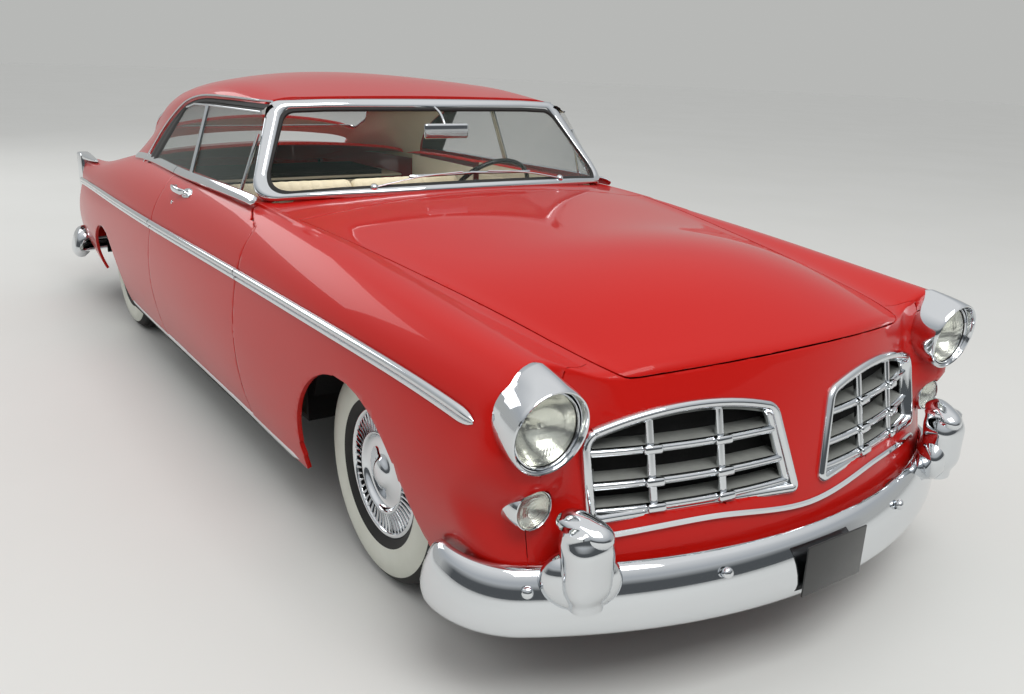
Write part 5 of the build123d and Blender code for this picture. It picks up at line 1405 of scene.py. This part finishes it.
for x in (-140, 140, -560, 620):
    brightDash.add(*lathe([(13, -4), (13, 9), (10, 13), (0.5, 14)], (x, dash["trimY"], 912), dash["tilt"], 20))
lid = roundedLoop([(-470, 862), (-470, 968), (-230, 968), (-230, 862)], [12] * 4, 5)
path = np.column_stack([lid[:, 0], -714 + (lid[:, 1] - 915) * -0.02, lid[:, 1]])
brightDash.add(*sweep(path, (0, 1, 0), ovalProfile(4, 3, 8), closed=True))
brightDash.make("dashTrim", "chrome", "body", slot="bright_trim")
dialFaces.make("dashDials", ["dial", "acetate"], "body", slot="wheel_plastic")

# Steering wheel: thin dark rim, two spokes and a bright half ring for the horn
steer = {"centre": (390, -406, 982), "axis": (0, 0.819152, 0.573576), "up": (0, -0.573576, 0.819152),
         "rim": 208, "grip": 21, "ring": 138}
centre, axis, up = (np.array(steer[k], float) for k in ("centre", "axis", "up"))
right = np.array([1.0, 0, 0])


def inWheel(x, y, z):
    # a point in the wheel's own plane: x across, y up the wheel, z along its axis
    x, y, z = (np.asarray(v, float)[..., None] for v in np.broadcast_arrays(x, y, z))
    return centre + x * right + y * up + z * axis


rimHeap, hornHeap = Heap(), Heap()
turn = fullTurn(120)
grips = 1 + 0.035 * np.sin(turn * 44) * (np.cos(turn * 2) < 0.3)
rimHeap.add(*sweep(inWheel(steer["rim"] * np.sin(turn), steer["rim"] * np.cos(turn), 0), axis,
                   ovalProfile(steer["grip"], steer["grip"] + 2, 14), closed=True, scale=grips))
for side in (1, -1):
    reach = np.linspace(24, steer["rim"] - 6, 14)
    share = reach / steer["rim"]
    path = inWheel(side * reach, -6 - 10 * np.sin(share * math.pi), -16 + 16 * share ** 2)
    rimHeap.add(*sweep(path, axis, ovalProfile(26, 11, 12, 3), scale=np.linspace(1.25, 0.9, 14)))
rimHeap.add(*lathe([(40, -150), (44, -60), (46, -24), (43, -12), (36, -5), (30, -3)], centre, axis, 40, up))
hornHeap.add(*lathe([(36, -6), (35, 2), (28, 8), (14, 12), (0.5, 13)], centre, axis, 40, up))
lower = np.linspace(math.radians(98), math.radians(262), 50)
path = inWheel(steer["ring"] * np.sin(lower), steer["ring"] * np.cos(lower), -4)
hornHeap.add(*sweep(path, axis, ovalProfile(9, 8, 10)))
for side in (1, -1):
    ends = inWheel(np.linspace(30, 137, 8) * side, np.linspace(-14, -19, 8), np.linspace(-8, -4, 8))
    hornHeap.add(*sweep(ends, axis, ovalProfile(10, 7, 10)))
rimHeap.make("steeringRim", "acetate", "steering_wheel", ["steering_wheel"], slot="wheel_plastic")
hornHeap.make("hornRing", "chrome", "steering_wheel", slot="bright_trim")

# Floor carpet over the tunnel, side linings and the shelf behind the seat
lining, cloth = Heap(), Heap()
rug = smoothPath([(-790, 268), (-640, 262), (-240, 262), (-170, 330), (-120, 352), (0, 358), (120, 352), (170, 330),
                  (240, 262), (640, 262), (790, 268)], 6)
cloth.add([[(x, y, z) for x, z in rug] for y in np.linspace(-930, 560, 24)], gridFaces(24, len(rug)))
for sign in (1, -1):
    lining.add(*roundBox((10, 708, 700), 4, at=(sign * 784, 706, 655)))
lining.add(*roundBox((1500, 300, 14), 6, at=(0, 1290, 872)))
lining.make("sideLinings", "vinyl", "body", slot="seat_leather")
cloth.make("floorCarpet", "carpet", "body", slot="underbody")
print("interior made")

# Rocker mouldings
small = Heap()
ys = np.linspace(-1290, 1090, 90)
rows = np.array([bodyAt(y) for y in ys])
path = np.column_stack([rows[:, 0] + 2, ys, rows[:, 1] + 12])
ends = np.clip(np.minimum(ys + 1300, 1100 - ys) / 60, 0.2, 1)
small.both(*sweep(path, (1, 0, 0), ovalProfile(22, 9, 12, 3), scale=ends))
small.make("rockerMouldings", "chrome", "body", slot="bright_trim")

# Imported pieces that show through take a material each
keptLooks = {
    "floor_pan": "undercoat", "front_aprons": "undercoat", "chassis_frame": "chassis", "engine_block": "castIron",
    "rear_axle": "chassis", "exhaust": "satin", "fuel_tank": "chassis", "knuckle_left": "castIron",
    "knuckle_right": "castIron", "steering_column": "acetate",
}
for nodeName, look in keptLooks.items():
    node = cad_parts[nodeName]
    node.data.materials.clear()
    node.data.materials.append(materials[look])
    if not node.data.polygons[0].use_smooth:  # a piece that starts flat is flat all over
        shade(node.data, 0)
print("packed pieces dressed")

# Floor, light and the sky that the paint and chrome reflect
studio = {"rings": (0.01, 8, 20, 60), "low": "#C5C6C4", "mid": "#C3C7CB", "high": "#FFFFFF", "power": 0.85,
          "cardTone": "#4A4E52"}
points = [(r * math.cos(a) * 1000, r * math.sin(a) * 1000, 0) for r in studio["rings"] for a in fullTurn(96)]
ground = addMesh("ground", points, gridFaces(len(studio["rings"]), 96, False, True), "floor", None, smooth=0)

world = bpy.data.worlds.new("studioSky")
world.use_nodes = True
bpy.context.scene.world = world
tree = world.node_tree
backdrop = tree.nodes["Background"]
place = addNode(tree, "TexCoord").outputs["Generated"]
height = addNode(tree, "SeparateXYZ", None, {"Vector": place}).outputs["Z"]
ramp = addNode(tree, "ValToRGB", None, {"Fac": height})
ramp.color_ramp.elements[0].color = linear(studio["low"])
for spot, tone in ((0.12, studio["low"]), (0.42, studio["mid"])):
    ramp.color_ramp.elements.new(spot).color = linear(tone)
ramp.color_ramp.elements[-1].position, ramp.color_ramp.elements[-1].color = 0.8, linear(studio["high"])
# a dark band low down behind the camera gives the chrome its contrast
behind = addNode(tree, "VectorMath", {1: (-0.577, -0.817, 0)}, {0: place}, operation="DOT_PRODUCT").outputs["Value"]
spans = []
for value, start, end, most in ((behind, -0.1, 0.25, 1.0), (height, 0.34, 0.2, 0.92)):
    limits = {"From Min": start, "From Max": end, "To Min": 0.0, "To Max": most}
    spans.append(addNode(tree, "MapRange", limits, {"Value": value}).outputs["Result"])
both = addNode(tree, "Math", None, {0: spans[0], 1: spans[1]}, operation="MULTIPLY").outputs["Value"]
mix = addNode(tree, "Mix", {"B": linear(studio["cardTone"])}, {"Factor": both, "A": ramp.outputs["Color"]},
              data_type="RGBA")
tree.links.new(mix.outputs["Result"], backdrop.inputs["Color"])
backdrop.inputs["Strength"].default_value = studio["power"]


def softBox(name, place, aim, size, power):
    light = bpy.data.lights.new(name, "AREA")
    light.shape, light.size, light.size_y, light.energy = "RECTANGLE", size[0], size[1], power
    made = bpy.data.objects.new(name, light)
    bpy.context.scene.collection.objects.link(made)
    made.location = place
    made.rotation_euler = (Vector(aim) - Vector(place)).to_track_quat("-Z", "Y").to_euler()
    return made


softBox("softKey", (-1.5, -7.5, 10.5), (0, -0.6, 0.6), (8, 6), 780)
softBox("softRear", (-4.0, 9.0, 6.0), (0, 1, 0.8), (6, 4), 200)
cabin = softBox("softCabin", (0, 0.1, 1.38), (0, 0.1, 0), (1.0, 0.9), 9)
cabin.visible_camera = cabin.visible_glossy = False
bpy.context.scene.view_settings.view_transform = "Standard"
print("studio lit")
